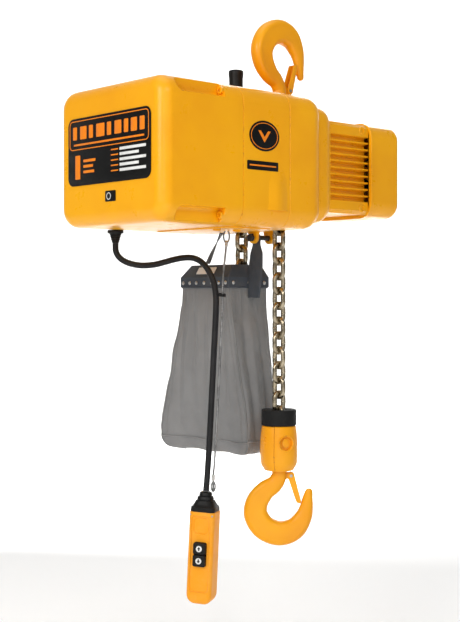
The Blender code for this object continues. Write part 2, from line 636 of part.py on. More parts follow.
def build_chain():
    quarter = Matrix.Rotation(math.pi / 2, 4, "Z")
    load = [Matrix.Translation((0, 0, BLOCK_LINK_Z + i * PITCH)) @ (quarter if i % 2 else Matrix.Identity(4))
            for i in range(LOAD_LINKS)]
    top = BLOCK_LINK_Z + (LOAD_LINKS - 1) * PITCH
    slack = [Matrix.Translation((0, 2 * DRIVE_Y, top - i * PITCH)) @ (quarter if i % 2 else Matrix.Identity(4))
             for i in range(SLACK_LINKS)]
    wrap = []
    for index in range(WRAP_LINKS):
        angle = math.pi * (index + 1) / (WRAP_LINKS + 1)
        middle = at_drive(0, -DRIVE_Y * math.cos(angle), DRIVE_Y * math.sin(angle))
        lie = Matrix.Rotation(-angle, 4, "X")
        wrap.append(Matrix.Translation(middle) @ lie @ (quarter if index % 2 else Matrix.Identity(4)))
    chain("load_chain", load)
    chain("slack_chain", slack)
    chain("sheave_chain", wrap)


# ---------------------------------------------------------------- hooks
def hook_frame(saddle_z, turn, upright):
    """Local X towards the tip, local Z from the saddle to the neck."""
    spin = Matrix.Rotation(turn, 4, "Z")
    flip = Matrix.Identity(4) if upright else Matrix.Rotation(math.pi, 4, "X")
    return Matrix.Translation((0, 0, saddle_z)) @ spin @ flip


def build_hook(prefix, frame, sides=12):
    rings = []
    for index, (u, w, half) in enumerate(HOOK_PATH):
        before = HOOK_PATH[max(index - 1, 0)]
        after = HOOK_PATH[min(index + 1, len(HOOK_PATH) - 1)]
        along = Vector((after[0] - before[0], 0, after[1] - before[1])).normalized()
        across = Vector((along.z, 0, -along.x))
        points = []
        for side in range(sides):
            turn = math.tau * side / sides
            offset = across * math.cos(turn) + Vector((0, HOOK_FLATTEN, 0)) * math.sin(turn)
            points.append(Vector((u, 0, w)) + offset * half)
        rings.append(points)
    hook = loft(prefix + "_hook", rings, YELLOW, frame)
    neck = HOOK_PATH[0][1]
    shank = cylinder(f"{prefix}_shank", (0, 0, (neck + TOP_SHANK_END) / 2 - 0.002), "Z", SHANK_RADIUS,
                     TOP_SHANK_END - neck + 0.004, sides=20, matrix=frame)
    u, w = LATCH_PIVOT
    bridge = box(f"{prefix}_bridge", (0.004, -LUG_HALF, w - 0.003), (u, LUG_HALF, w + 0.003), matrix=frame)
    lug = cylinder(f"{prefix}_lug", (u, 0, w), "Y", LUG_RADIUS, 2 * LUG_HALF, sides=16, matrix=frame)
    join(hook, shank, bridge, lug)
    cut(hook, cylinder(f"{prefix}_lug_bore", (u, 0, w), "Y", LATCH_PIN + GAP, 0.03, sides=12, matrix=frame))
    nut = ring(f"{prefix}_hook_nut", (0, 0, 0), "Z", NUT_RADIUS, SHANK_RADIUS + GAP, NUT_HEIGHT, STEEL)
    nut.matrix_world = frame @ Matrix.Translation((0, 0, NUT_SEAT + GAP + NUT_HEIGHT / 2))

    end_u, end_w = LATCH_END
    outline = [*arc((u, w), 0.0046, 110, 200, 5), (end_u - 0.003, end_w + 0.003),
               (end_u + 0.0025, end_w + 0.0015), (u + 0.0078, w + 0.002)]
    side_on = frame @ Matrix.Rotation(math.pi / 2, 4, "X")
    latch = plate(prefix + "_latch", outline, 2 * LATCH_HALF, YELLOW, side_on)
    channel = [(-0.02, 0.09), (u + 0.0040, 0.09), (end_u + 0.0017, 0.010), (-0.02, 0.010)]
    cut(latch, plate(f"{prefix}_channel", channel, 2 * (LUG_HALF + 0.0004), matrix=side_on))
    cut(latch, cylinder(f"{prefix}_latch_bore", (u, 0, w), "Y", LATCH_PIN + GAP, 0.03, sides=12, matrix=frame))
    cylinder(prefix + "_latch_pin", (u, 0, w), "Y", LATCH_PIN, 2 * LATCH_HALF + 0.002, STEEL, 12, matrix=frame)


def build_block():
    ring("bumper", (0, 0, BUMPER_TOP - BUMPER_HEIGHT / 2), "Z", BUMPER_RADIUS, LINK_WIDTH / 2 + 0.002,
         BUMPER_HEIGHT, RUBBER, 28)
    top = BUMPER_TOP - BUMPER_HEIGHT - GAP
    floor = BOTTOM_SADDLE + NUT_SEAT
    profile = [(0.0262, top), (0.0285, top - 0.020), (0.0295, top - 0.042), (0.0275, BLOCK_BOTTOM + 0.006),
               (0.0215, BLOCK_BOTTOM), (SHANK_RADIUS + 3 * GAP, BLOCK_BOTTOM), (SHANK_RADIUS + 3 * GAP, floor),
               (0.0165, floor), (0.0165, floor + 0.018), (0.006, floor + 0.018), (0.006, floor + 0.023),
               (0.0155, floor + 0.023), (0.0155, top)]
    for name, side in (("block_left", 1), ("block_right", -1)):
        half = turned(name, profile, (0, 0, 0), "Z", YELLOW, 28)
        reach = 0.06
        low, high = sorted((side * GAP / 2, -side * reach))
        turn = Matrix.Rotation(BLOCK_TURN, 4, "Z")
        cut(half, box("split_" + name, (-reach, low, BLOCK_BOTTOM - 0.01), (reach, high, top + 0.01),
                      matrix=turn))
        cut(half, cylinder("pin_hole_" + name, (0, 0, BLOCK_LINK_Z - PIN_DROP), "Y", CHAIN_PIN + GAP, 0.048,
                           sides=14))
    cylinder("chain_pin", (0, 0, BLOCK_LINK_Z - PIN_DROP), "Y", CHAIN_PIN, 0.047, STEEL, 14)


# ---------------------------------------------------------------- bag
def rectangle_ring(x, y, z):
    return [(x[0], y[0], z), (x[1], y[0], z), (x[1], y[1], z), (x[0], y[1], z)]


def soft_ring(corners, z, round_share=0.14):
    """Twelve points round a quadrilateral, with its corners eased."""
    points = []
    for index, corner in enumerate(corners):
        here = Vector(corner)
        before, after = Vector(corners[index - 1]), Vector(corners[(index + 1) % 4])
        into, out = here.lerp(before, round_share), here.lerp(after, round_share)
        for point in (into, here * 0.5 + (into + out) * 0.25, out):
            points.append((point.x, point.y, z))
    return points


def bag_rings(inset, top, bottom):
    """The bag's skin from its top to its bottom; inset moves it inwards."""
    clear = BAG_SHEET + GAP + inset
    upper = [(BAG_X[0] + clear, BAG_Y[0] + clear), (BAG_X[1] - clear, BAG_Y[0] + clear),
             (BAG_X[1] - clear, BAG_Y[1] - clear), (BAG_X[0] + clear, BAG_Y[1] - clear)]
    middle = sum((Vector(p) for p in BAG_FOOT), Vector((0, 0))) / 4
    lower = []
    for point in BAG_FOOT:
        arm = Vector(point) - middle
        lower.append(tuple(middle + arm * (1 - 1.4 * inset / arm.length)))
    rings = []
    for share, shrink in ((0.0, 0), (0.05, 0), (0.3, 0), (0.6, 0), (0.86, 0), (0.95, 0.10), (1.0, 0.35)):
        level = top + (bottom - top) * share
        spread = min(1.0, max(0.0, (share - 0.05) / 0.81))
        corners = []
        for high, low in zip(upper, lower):
            point = Vector(high).lerp(Vector(low), spread)
            corners.append(tuple(point.lerp(middle, shrink)))
        rings.append(soft_ring(corners, level))
    return rings


def build_bag():
    band = BAG_RIM_Z + 0.016
    sides = (BAG_SHOULDER, BAG_SHOULDER, 0.005, BAG_SHOULDER)

    def frame_rings(inset, rise):
        wide = (BAG_X[0] + inset, BAG_X[1] - inset)
        deep = (BAG_Y[0] + inset, BAG_Y[1] - inset)
        crown_x = (wide[0] + sides[0], wide[1] - sides[1])
        crown_y = (deep[0] + sides[2], deep[1] - sides[3])
        return [rectangle_ring(wide, deep, BAG_RIM_Z - rise), rectangle_ring(wide, deep, band - inset),
                rectangle_ring(crown_x, crown_y, BAG_TOP_Z + rise)]

    frame = loft("bag_frame", frame_rings(0, 0), SLATE)
    cut(frame, place("frame_hollow", loft_mesh("frame_hollow", frame_rings(BAG_SHEET, 0.002))))
    top = band - 0.003
    bag = loft("chain_bag", bag_rings(0, top, BAG_BOTTOM_Z), CLOTH)
    cut(bag, place("bag_hollow", loft_mesh("bag_hollow", bag_rings(BAG_CLOTH, top + 0.004, BAG_BOTTOM_Z + BAG_CLOTH))))
    y, z = DRIVE_Y, LUG_PIN_Z
    outline = [*arc((y, z), 0.0080, 0, 180, 7), (y - 0.0080, z - 0.012), (y - 0.0130, z - 0.024),
               (y - 0.0130, z - 0.045), (y - 0.0060, z - 0.095), (BAG_Y[0] - 0.0008, z - 0.095),
               (BAG_Y[0] - 0.0008, z - 0.052), (y + 0.0130, z - 0.024), (y + 0.0080, z - 0.012)]
    thick = 0.003
    where = Matrix.Translation((ARM_X, 0, 0)) @ FACE_X
    arm = plate("bag_arm", outline, thick, SLATE, where)
    cut(arm, cylinder("arm_bore", (ARM_X, y, z), "X", LUG_PIN + GAP, 0.02, sides=16))
    join(arm, box("arm_tab", (ARM_X - thick / 2, BAG_Y[0] - 0.003, z - 0.095),
                  (ARM_X + 0.022, BAG_Y[0] - 0.0008, z - 0.058)))
    ends = (Vector((-0.0560, 0.0700, CASE_Z[0] - GAP)), Vector((-0.0500, 0.1120, BAG_TOP_Z + 0.0015)))
    rings = []
    steps = 8
    for index in range(steps + 1):
        share = index / steps
        middle = ends[0].lerp(ends[1], share)
        turn = math.radians(20 + 60 * math.sin(share * math.pi / 2))
        wide = Vector((math.cos(turn), math.sin(turn), 0)) * 0.0065
        thin = Vector((-math.sin(turn), math.cos(turn), 0)) * 0.0008
        rings.append([middle - wide - thin, middle + wide - thin, middle + wide + thin, middle - wide + thin])
    loft("bag_strap", rings, BLACK)


def loft_mesh(name, rings):
    helper = loft(name + "_part", rings, CLOTH)
    mesh = helper.data
    bpy.data.objects.remove(helper)
    return mesh


# ---------------------------------------------------------------- pendant and cords
def pendant_frame():
    return (Matrix.Translation(PENDANT) @ Matrix.Rotation(math.radians(-59), 4, "Z")
            @ Matrix.Rotation(PENDANT_LEAN, 4, "Y"))


def build_pendant():
    frame = pendant_frame()
    cap_height = 0.029
    half_x, half_y = PENDANT_HALF
    rings = []
    for level, share in ((-GAP, 0.55), (-0.004, 0.62), (-0.020, 0.78), (-cap_height, 0.92)):
        corners = [(-half_x * share, -half_y * share), (half_x * share, -half_y * share),
                   (half_x * share, half_y * share), (-half_x * share, half_y * share)]
        rings.append(soft_ring(corners, level, 0.3))
    loft("pendant_cap", rings, BLACK, frame)
    body_top = -cap_height - GAP
    wall = 0.0025
    inside = box("pendant_inside", (-half_x + wall, -half_y + wall, -PENDANT_LENGTH + 0.006),
                 (half_x - wall, half_y - wall, body_top - wall), matrix=frame)
    for name, side in (("pendant_front", -1), ("pendant_back", 1)):
        shell_half = box(name, (-half_x, -half_y, -PENDANT_LENGTH), (half_x, half_y, body_top), YELLOW,
                         0.007, 3, matrix=frame)
        reach = 0.05
        low, high = sorted((side * GAP / 2, -side * reach))
        cut(shell_half, inside, box("split_" + name, (-reach, low, -0.2), (reach, high, 0.0), matrix=frame))
        if side > 0:
            continue
        for index, depth in enumerate(BUTTON_DEPTH):
            grown = BUTTON_HALF + GAP
            cut(shell_half, box(f"button_hole_{index}", (-grown, -half_y - 0.01, -depth - grown),
                                (grown, -half_y + 0.009, -depth + grown), matrix=frame))
    for name, depth in zip(("up_button", "down_button"), BUTTON_DEPTH):
        box(name, (-BUTTON_HALF, -half_y - 0.0042, -depth - BUTTON_HALF),
            (BUTTON_HALF, -half_y + 0.006, -depth + BUTTON_HALF), BLACK, 0.0012, 1, matrix=frame)


def build_cords():
    cable = [Vector(CABLE_ROUTE[0]), *smooth_route(CABLE_ROUTE[1:], 0.0190)]
    tube("pendant_cable", cable, CABLE_RADIUS, BLACK, 2)
    tube("strain_wire", smooth_route(STRAIN_ROUTE, 0.0085), WIRE_RADIUS, BLACK, 2)
    exit_x, exit_y, exit_z = CABLE_ROUTE[0]
    top = CASE_Z[0] - GAP
    bottom = exit_z + GAP
    profile = [(0.0105, top), (0.0105, top - 0.005), (0.0080, top - 0.007), (0.0056, bottom), (0.001, bottom),
               (0.001, top)]
    turned("cable_gland", profile, (exit_x, exit_y, 0), "Z", BLACK, 20)


def build_trim():
    plate_wide, plate_tall, round_off = 0.0985, 0.0495, 0.012
    outline = []
    for start, sx, sz in ((0, 1, 1), (90, -1, 1), (180, -1, -1), (270, 1, -1)):
        corner = (sx * (plate_wide - round_off), sz * (plate_tall - round_off))
        outline += arc(corner, round_off, start, start + 90, 4)
    plate("nameplate", outline, 0.0008, DECAL,
          Matrix.Translation((COVER_X - GAP - 0.0004, 0.0455, -0.1815)) @ FACE_X)
    cylinder("top_cap", (-0.036, 0.060, (CASE_Z[1] + GAP - 0.037) / 2), "Z", 0.0118,
             -0.037 - CASE_Z[1] - GAP, BLACK, 20)


build_cases()
build_motor_housing()
build_drive()
build_chain()
build_hook("top", hook_frame(0.0, 0.0, False))
build_hook("bottom", hook_frame(BOTTOM_SADDLE, HOOK_TURN, True))
build_block()
build_bag()
build_pendant()
build_cords()
build_trim()
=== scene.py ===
import json
import math

import bmesh
import bpy
from mathutils import Matrix, Vector, noise

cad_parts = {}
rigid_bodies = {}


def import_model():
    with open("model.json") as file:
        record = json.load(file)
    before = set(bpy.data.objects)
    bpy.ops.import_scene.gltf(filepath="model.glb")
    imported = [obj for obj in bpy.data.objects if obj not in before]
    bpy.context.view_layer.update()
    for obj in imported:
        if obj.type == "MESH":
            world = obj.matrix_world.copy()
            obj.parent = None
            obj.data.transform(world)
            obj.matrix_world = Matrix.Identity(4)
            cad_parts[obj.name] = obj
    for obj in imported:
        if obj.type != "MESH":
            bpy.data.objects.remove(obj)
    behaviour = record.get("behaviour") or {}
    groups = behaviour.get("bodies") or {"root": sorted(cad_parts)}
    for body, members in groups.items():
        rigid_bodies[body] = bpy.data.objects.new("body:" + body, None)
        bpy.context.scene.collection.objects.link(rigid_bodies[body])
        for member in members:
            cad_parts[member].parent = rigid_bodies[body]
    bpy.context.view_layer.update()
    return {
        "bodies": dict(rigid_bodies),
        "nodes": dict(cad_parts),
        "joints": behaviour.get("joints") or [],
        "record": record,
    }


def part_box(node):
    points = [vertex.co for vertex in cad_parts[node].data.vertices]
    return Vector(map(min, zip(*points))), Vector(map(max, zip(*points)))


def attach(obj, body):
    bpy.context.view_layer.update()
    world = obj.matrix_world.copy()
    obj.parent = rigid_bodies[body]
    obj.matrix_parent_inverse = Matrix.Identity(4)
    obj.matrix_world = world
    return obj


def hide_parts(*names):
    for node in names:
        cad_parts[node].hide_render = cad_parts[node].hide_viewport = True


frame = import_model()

NODES = frame["nodes"]
QUARTER = Matrix.Rotation(math.pi / 2, 4, "Z")
GAP = 0.0003
DRIVE_Y, DRIVE_Z = 0.043, -0.186
COVER_X, MID_X, CASE_X, FLANGE_X, MOTOR_X, FAN_X, END_X = -0.295, -0.146, -0.052, 0.026, 0.080, 0.176, 0.254
CASE_Y, CASE_Z = (-0.077, 0.172), (-0.291, -0.088)
CASE_WALL, CASE_ROUND = 0.005, 0.028
WIRE, PITCH, LINK_WIDTH = 0.0077, 0.0231, 0.0262
BLOCK_LINK_Z, LOAD_LINKS, SLACK_LINKS, WRAP_LINKS = -0.604, 18, 12, 5
HIDDEN_LINKS = 4             # of each strand, inside the case at rest
CABLE_ROUTE = (
    (-0.2070, 0.1470, -0.3113), (-0.2070, 0.1470, -0.3213), (-0.2052, 0.1450, -0.3290),
    (-0.2010, 0.1400, -0.3360), (-0.1940, 0.1340, -0.3410), (-0.1850, 0.1262, -0.3443),
    (-0.1744, 0.1180, -0.3455),
    (-0.1600, 0.1090, -0.3439), (-0.1475, 0.1000, -0.3400), (-0.1349, 0.0910, -0.3358),
    (-0.1224, 0.0820, -0.3332), (-0.1118, 0.0730, -0.3340), (-0.1033, 0.0640, -0.3406),
    (-0.0975, 0.0550, -0.3538), (-0.0942, 0.0475, -0.3708), (-0.0940, 0.0425, -0.3893),
    (-0.0955, 0.0400, -0.4077), (-0.0976, 0.0400, -0.4444), (-0.1007, 0.0400, -0.4903),
    (-0.1037, 0.0400, -0.5360), (-0.1068, 0.0400, -0.5816), (-0.1100, 0.0400, -0.6272),
    (-0.1132, 0.0400, -0.6650), (-0.1158, 0.0400, -0.6892),
)
STRAIN_ROUTE = (
    (-0.0810, 0.0320, -0.2914), (-0.0815, 0.0320, -0.3120),
    (-0.0835, 0.0322, -0.3300), (-0.0862, 0.0325, -0.3500),
    (-0.0880, 0.0325, -0.3700), (-0.0890, 0.0322, -0.3900), (-0.0900, 0.0320, -0.4100),
    (-0.0915, 0.0320, -0.4444), (-0.0946, 0.0320, -0.4903), (-0.0976, 0.0320, -0.5360),
    (-0.1007, 0.0320, -0.5816), (-0.1035, 0.0320, -0.6200), (-0.1060, 0.0322, -0.6500),
    (-0.1075, 0.0325, -0.6650), (-0.1080, 0.0322, -0.6890),
)
CABLE_RADIUS, WIRE_RADIUS = 0.0048, 0.0016
HOOK_PATH = (
    (0.0, 0.0785, 0.0110), (0.0, 0.070, 0.0120), (-0.007, 0.058, 0.0135),
    (-0.022, 0.047, 0.0155), (-0.034, 0.030, 0.0175), (-0.036, 0.010, 0.0188),
    (-0.023, -0.010, 0.0192), (0.001, -0.019, 0.0190), (0.024, -0.012, 0.0172),
    (0.038, 0.006, 0.0136), (0.043, 0.022, 0.0105), (0.045, 0.036, 0.0080),
    (0.047, 0.046, 0.0060),
)
LATCH_PIVOT, LUG_RADIUS, LUG_HALF = (0.019, 0.0715), 0.0049, 0.0040
LATCH_HALF, LATCH_PIN = 0.0065, 0.0022
LUG_PIN_Z = -0.300
SHANK_RADIUS, SHANK_END = 0.0085, 0.106
HOOK_TURN, BOTTOM_SADDLE = math.radians(-42), -0.744
BUMPER_TOP, BUMPER_HEIGHT, BUMPER_RADIUS = -0.569, 0.025, 0.0272
BLOCK_BOTTOM, BLOCK_TURN = -0.664, math.radians(31)
BAG_TOP_Z, BAG_RIM_Z, BAG_BOTTOM_Z = -0.342, -0.378, -0.641
BAG_X, BAG_Y, BAG_SHEET = (-0.050, 0.038), (0.062, 0.180), 0.0016
BAG_FOOT = ((-0.025, 0.040), (0.046, 0.044), (0.034, 0.232), (-0.062, 0.224))
PENDANT = (-0.116, 0.040, -0.690)
PENDANT_LENGTH, PENDANT_HALF, PENDANT_CAP = 0.170, (0.0200, 0.0190), 0.029
BUTTON_DEPTH = (0.0840, 0.1025)


# ---------------------------------------------------------------- materials
class Look:
    """A material built up on one Principled shader, with everything in the piece's own space."""

    def __init__(self, name, rough, metallic=0.0, **sockets):
        self.material = bpy.data.materials.new(name)
        self.material.use_nodes = True
        self.tree = self.material.node_tree
        self.shader = self.tree.nodes["Principled BSDF"]
        self.shader.inputs["Metallic"].default_value = metallic
        self.shader.inputs["Roughness"].default_value = rough
        for socket, value in sockets.items():
            self.shader.inputs[socket.replace("_", " ")].default_value = value
        self.space = self.node("ShaderNodeTexCoord").outputs["Object"]
        self.height = None

    def node(self, kind, **fields):
        made = self.tree.nodes.new(kind)
        for field, value in fields.items():
            setattr(made, field, value)
        return made

    def link(self, source, target):
        self.tree.links.new(source, target)

    def stretched(self, scale):
        mapping = self.node("ShaderNodeMapping")
        mapping.inputs["Scale"].default_value = scale
        self.link(self.space, mapping.inputs["Vector"])
        return mapping.outputs["Vector"]

    def noise(self, scale, detail=4.0, stretch=None, rough=0.55):
        made = self.node("ShaderNodeTexNoise")
        made.inputs["Scale"].default_value = scale
        made.inputs["Detail"].default_value = detail
        made.inputs["Roughness"].default_value = rough
        self.link(self.stretched(stretch) if stretch else self.space, made.inputs["Vector"])
        return made.outputs["Fac"]

    def ranged(self, value, low, high, to_low=0.0, to_high=1.0):
        made = self.node("ShaderNodeMapRange")
        for socket, number in zip(("From Min", "From Max", "To Min", "To Max"),
                                  (low, high, to_low, to_high)):
            made.inputs[socket].default_value = number
        self.link(value, made.inputs["Value"])
        return made.outputs["Result"]

    def math(self, operation, first, second):
        made = self.node("ShaderNodeMath", operation=operation)
        for socket, value in zip(made.inputs, (first, second)):
            if isinstance(value, (int, float)):
                socket.default_value = value
            else:
                self.link(value, socket)
        return made.outputs[0]

    def mix(self, share, first, second):
        made = self.node("ShaderNodeMix", data_type="RGBA")
        for socket, value in ((made.inputs[0], share), (made.inputs[6], first), (made.inputs[7], second)):
            if isinstance(value, tuple):
                socket.default_value = (*value, 1.0)
            else:
                self.link(value, socket)
        return made.outputs[2]

    def edges(self, radius, low=0.995, high=0.90):
        """1 on worn edges, 0 on flats."""
        bevel = self.node("ShaderNodeBevel", samples=4)
        bevel.inputs["Radius"].default_value = radius
        dot = self.node("ShaderNodeVectorMath", operation="DOT_PRODUCT")
        self.link(bevel.outputs["Normal"], dot.inputs[0])
        self.link(self.node("ShaderNodeNewGeometry").outputs["Normal"], dot.inputs[1])
        return self.ranged(dot.outputs["Value"], low, high)

    def bump(self, height, distance, strength=1.0):
        made = self.node("ShaderNodeBump")
        made.inputs["Distance"].default_value = distance
        made.inputs["Strength"].default_value = strength
        self.link(height, made.inputs["Height"])
        if self.height:
            self.link(self.height, made.inputs["Normal"])
        self.height = made.outputs["Normal"]
        self.link(self.height, self.shader.inputs["Normal"])

    def color(self, value):
        self.link(value, self.shader.inputs["Base Color"])

    def rough(self, value):
        self.link(value, self.shader.inputs["Roughness"])


def enamel(name, base, deep, chip, rough=0.3):
    """Sprayed paint: slight colour drift, orange peel, dust and rubbed edges."""
    look = Look(name, rough, Specular_IOR_Level=0.3, Coat_Weight=0.08, Coat_Roughness=0.12)
    drift = look.ranged(look.noise(9, 3), 0.35, 0.7)
    paint = look.mix(drift, base, deep)
    rub = look.math("MULTIPLY", look.edges(0.0022), look.ranged(look.noise(140, 6), 0.56, 0.66))
    speck = look.ranged(look.noise(420, 2), 0.755, 0.80)
    worn = look.math("MAXIMUM", look.math("MULTIPLY", rub, 0.75), look.math("MULTIPLY", speck, 0.5))
    look.color(look.mix(worn, paint, chip))
    smudge = look.ranged(look.noise(26, 6, rough=0.7), 0.3, 0.75, rough - 0.06, rough + 0.14)
    look.rough(look.math("ADD", smudge, look.math("MULTIPLY", worn, 0.25)))
    look.bump(look.noise(330, 2), 0.00012, 0.35)
    look.bump(look.noise(38, 2), 0.0006, 0.25)
    return look.material


def moulded(name, base, pale, rough, grain=900, depth=0.00012):
    look = Look(name, rough, Specular_IOR_Level=0.22)
    dust = look.ranged(look.noise(30, 6, rough=0.65), 0.45, 0.8)
    worn = look.math("MULTIPLY", look.edges(0.0012), look.ranged(look.noise(90, 5), 0.45, 0.65))
    look.color(look.mix(look.math("MAXIMUM", look.math("MULTIPLY", dust, 0.5), worn), base, pale))
    look.rough(look.ranged(look.noise(60, 5), 0.3, 0.7, rough - 0.08, rough + 0.12))
    look.bump(look.noise(grain, 3), depth, 0.5)
    return look.material


def bare_metal(name, base, dark, rough, brushed=None, depth=0.00008):
    look = Look(name, rough, 1.0)
    stain = look.ranged(look.noise(55, 6, rough=0.7), 0.4, 0.72)
    look.color(look.mix(stain, base, dark))
    look.rough(look.ranged(look.noise(70, 5), 0.3, 0.72, rough - 0.1, rough + 0.16))
    look.bump(look.noise(500 if brushed is None else 300, 4, brushed), depth, 0.6)
    return look.material


def woven(name, base, pale, across, along):
    """Coated canvas: crossed threads, with random paler patches and shine that varies at random."""
    look = Look(name, 0.5, Specular_IOR_Level=0.6, Sheen_Weight=0.12, Sheen_Roughness=0.4)
    threads = []
    for stretch in (across, along):
        wave = look.node("ShaderNodeTexWave", wave_type="BANDS", bands_direction="DIAGONAL",
                         wave_profile="SIN")
        wave.inputs["Scale"].default_value = 1.0
        wave.inputs["Distortion"].default_value = 0.6
        wave.inputs["Detail"].default_value = 1.0
        look.link(look.stretched(stretch), wave.inputs["Vector"])
        threads.append(wave.outputs["Fac"])
    weave = look.math("MULTIPLY", *threads)
    cloud = look.ranged(look.noise(14, 5, rough=0.65), 0.35, 0.7)
    tone = look.math("ADD", look.math("MULTIPLY", cloud, 0.6), look.math("MULTIPLY", weave, 0.35))
    look.color(look.mix(tone, base, pale))
    look.rough(look.ranged(look.noise(45, 5), 0.3, 0.7, 0.36, 0.62))
    look.bump(weave, 0.00022, 0.6)
    look.bump(look.noise(120, 4), 0.0007, 0.35)
    return look.material


YELLOW = enamel("yellow_enamel", (0.93, 0.425, 0.004), (0.87, 0.36, 0.003), (0.42, 0.16, 0.03))
HOOK_YELLOW = enamel("hook_enamel", (0.92, 0.40, 0.006), (0.84, 0.32, 0.004), (0.30, 0.13, 0.04), 0.34)
PENDANT_YELLOW = moulded("pendant_yellow", (0.93, 0.36, 0.012), (0.95, 0.47, 0.09), 0.36, 700)
BLACK = moulded("black_plastic", (0.006, 0.006, 0.006), (0.022, 0.022, 0.023), 0.42)
JACKET = moulded("cable_jacket", (0.012, 0.012, 0.013), (0.04, 0.04, 0.042), 0.45, 1300, 0.0001)
RUBBER = moulded("black_rubber", (0.006, 0.006, 0.006), (0.022, 0.022, 0.022), 0.62, 600, 0.0002)
SLATE = moulded("slate_sheet", (0.060, 0.072, 0.090), (0.12, 0.13, 0.15), 0.44, 400, 0.00015)
BLACK_STEEL = moulded("black_steel", (0.020, 0.020, 0.021), (0.09, 0.088, 0.085), 0.38, 500, 0.0001)
STEEL = bare_metal("bright_steel", (0.62, 0.61, 0.59), (0.34, 0.32, 0.29), 0.30)
CHAIN = bare_metal("plated_chain", (0.50, 0.43, 0.31), (0.13, 0.10, 0.065), 0.24, depth=0.00012)
COPPER = bare_metal("copper_winding", (0.78, 0.38, 0.19), (0.35, 0.15, 0.07), 0.35, (1, 14, 14))
ROPE = bare_metal("wire_rope", (0.34, 0.34, 0.34), (0.05, 0.05, 0.05), 0.35, (1, 1, 9), 0.0003)
CLOTH = woven("grey_cloth", (0.185, 0.186, 0.188), (0.27, 0.27, 0.272), (900, 900, 1500), (900, -900, 1500))
WEBBING = woven("black_webbing", (0.009, 0.009, 0.009), (0.035, 0.035, 0.035), (1500, 1500, 700),
                (1500, -1500, 700))
PIPING = moulded("pale_piping", (0.20, 0.20, 0.20), (0.34, 0.34, 0.335), 0.45, 1200)
LABEL = moulded("black_label", (0.003, 0.003, 0.003), (0.008, 0.008, 0.008), 0.4, 1200, 0.00004)
ORANGE = moulded("orange_print", (0.90, 0.24, 0.010), (0.80, 0.20, 0.02), 0.35, 1200, 0.00003)
WHITE = moulded("white_print", (0.80, 0.80, 0.79), (0.70, 0.70, 0.68), 0.4, 1200, 0.00003)


# ---------------------------------------------------------------- making pieces
def piece(name, shape, body, look, stands_for=(), bevel=0.0, segments=2, sharp=None, matrix=None):
    """A finished piece from a bmesh or a mesh. It rides on a body and may stand for CAD nodes."""
    if isinstance(shape, bmesh.types.BMesh):
        mesh = bpy.data.meshes.new(name)
        bmesh.ops.recalc_face_normals(shape, faces=shape.faces)
        shape.to_mesh(mesh)
        shape.free()
    else:
        mesh = shape
        mesh.name = name
    if matrix:
        mesh.transform(matrix)
    mesh.materials.clear()
    mesh.materials.append(look)
    mesh.shade_smooth()
    if sharp:
        mesh.set_sharp_from_angle(angle=math.radians(sharp))
    made = bpy.data.objects.new(name, mesh)
    bpy.context.scene.collection.objects.link(made)
    if bevel:
        soften(made, bevel, segments)
    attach(made, body)
    if stands_for:
        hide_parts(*stands_for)
    return made


def soften(obj, width, segments=2, angle=32, weld=False):
    """Small round edges, with flat faces kept flat; weld joins the points of a CAD mesh first."""
    if weld:
        obj.modifiers.new("weld", "WELD").merge_threshold = 0.00002
    edges = obj.modifiers.new("edges", "BEVEL")
    edges.width = width
    edges.segments = segments
    edges.limit_method = "ANGLE"
    edges.angle_limit = math.radians(angle)
    edges.use_clamp_overlap = True
    obj.modifiers.new("normals", "WEIGHTED_NORMAL").keep_sharp = True


def skin(rings, caps=(True, True), closed=True, loop=False):
    """Quads between rings of equal length."""
    bm = bmesh.new()
    made = [[bm.verts.new(p) for p in ring] for ring in rings]
    count = len(made[0])
    pairs = list(zip(made, made[1:])) + ([(made[-1], made[0])] if loop else [])
    for lower, upper in pairs:
        for i in range(count if closed else count - 1):
            j = (i + 1) % count
            bm.faces.new((lower[i], lower[j], upper[j], upper[i]))
    if not loop:
        if caps[0]:
            bm.faces.new(made[0])
        if caps[1]:
            bm.faces.new(made[-1])
    return bm


def baked(bm_or_mesh, others=(), operation="DIFFERENCE"):
    """The mesh after exact Booleans with each of the other shapes."""
    def as_object(shape, name):
        mesh = shape
        if isinstance(shape, bmesh.types.BMesh):
            mesh = bpy.data.meshes.new(name)
            bmesh.ops.recalc_face_normals(shape, faces=shape.faces)
            shape.to_mesh(mesh)
            shape.free()
        made = bpy.data.objects.new(name, mesh)
        bpy.context.scene.collection.objects.link(made)
        return made

    base = as_object(bm_or_mesh, "base")
    tools = [as_object(other, "tool") for other in others]
    for tool in tools:
        step = base.modifiers.new("step", "BOOLEAN")
        step.operation = operation
        step.solver = "EXACT"
        step.object = tool
    bpy.context.view_layer.update()
    evaluated = base.evaluated_get(bpy.context.evaluated_depsgraph_get())
    mesh = bpy.data.meshes.new_from_object(evaluated)
    for old in (base, *tools):
        bpy.data.objects.remove(old)
    return mesh


def round_rect(half_a, half_b, radius, corner=6):
    points = []
    for index, (a, b) in enumerate(((1, 1), (-1, 1), (-1, -1), (1, -1))):
        for step in range(corner + 1):
            turn = math.radians(90 * index + 90 * step / corner)
            points.append((a * (half_a - radius) + radius * math.cos(turn),
                           b * (half_b - radius) + radius * math.sin(turn)))
    return points


def x_ring(x, y, z, radius, inset, corner=6):
    """A rounded rectangle across X, drawn in by inset."""
    half_y, half_z = (y[1] - y[0]) / 2 - inset, (z[1] - z[0]) / 2 - inset
    outline = round_rect(half_y, half_z, max(radius - inset, 0.0012), corner)
    return [Vector((x, sum(y) / 2 + a, sum(z) / 2 + b)) for a, b in outline]


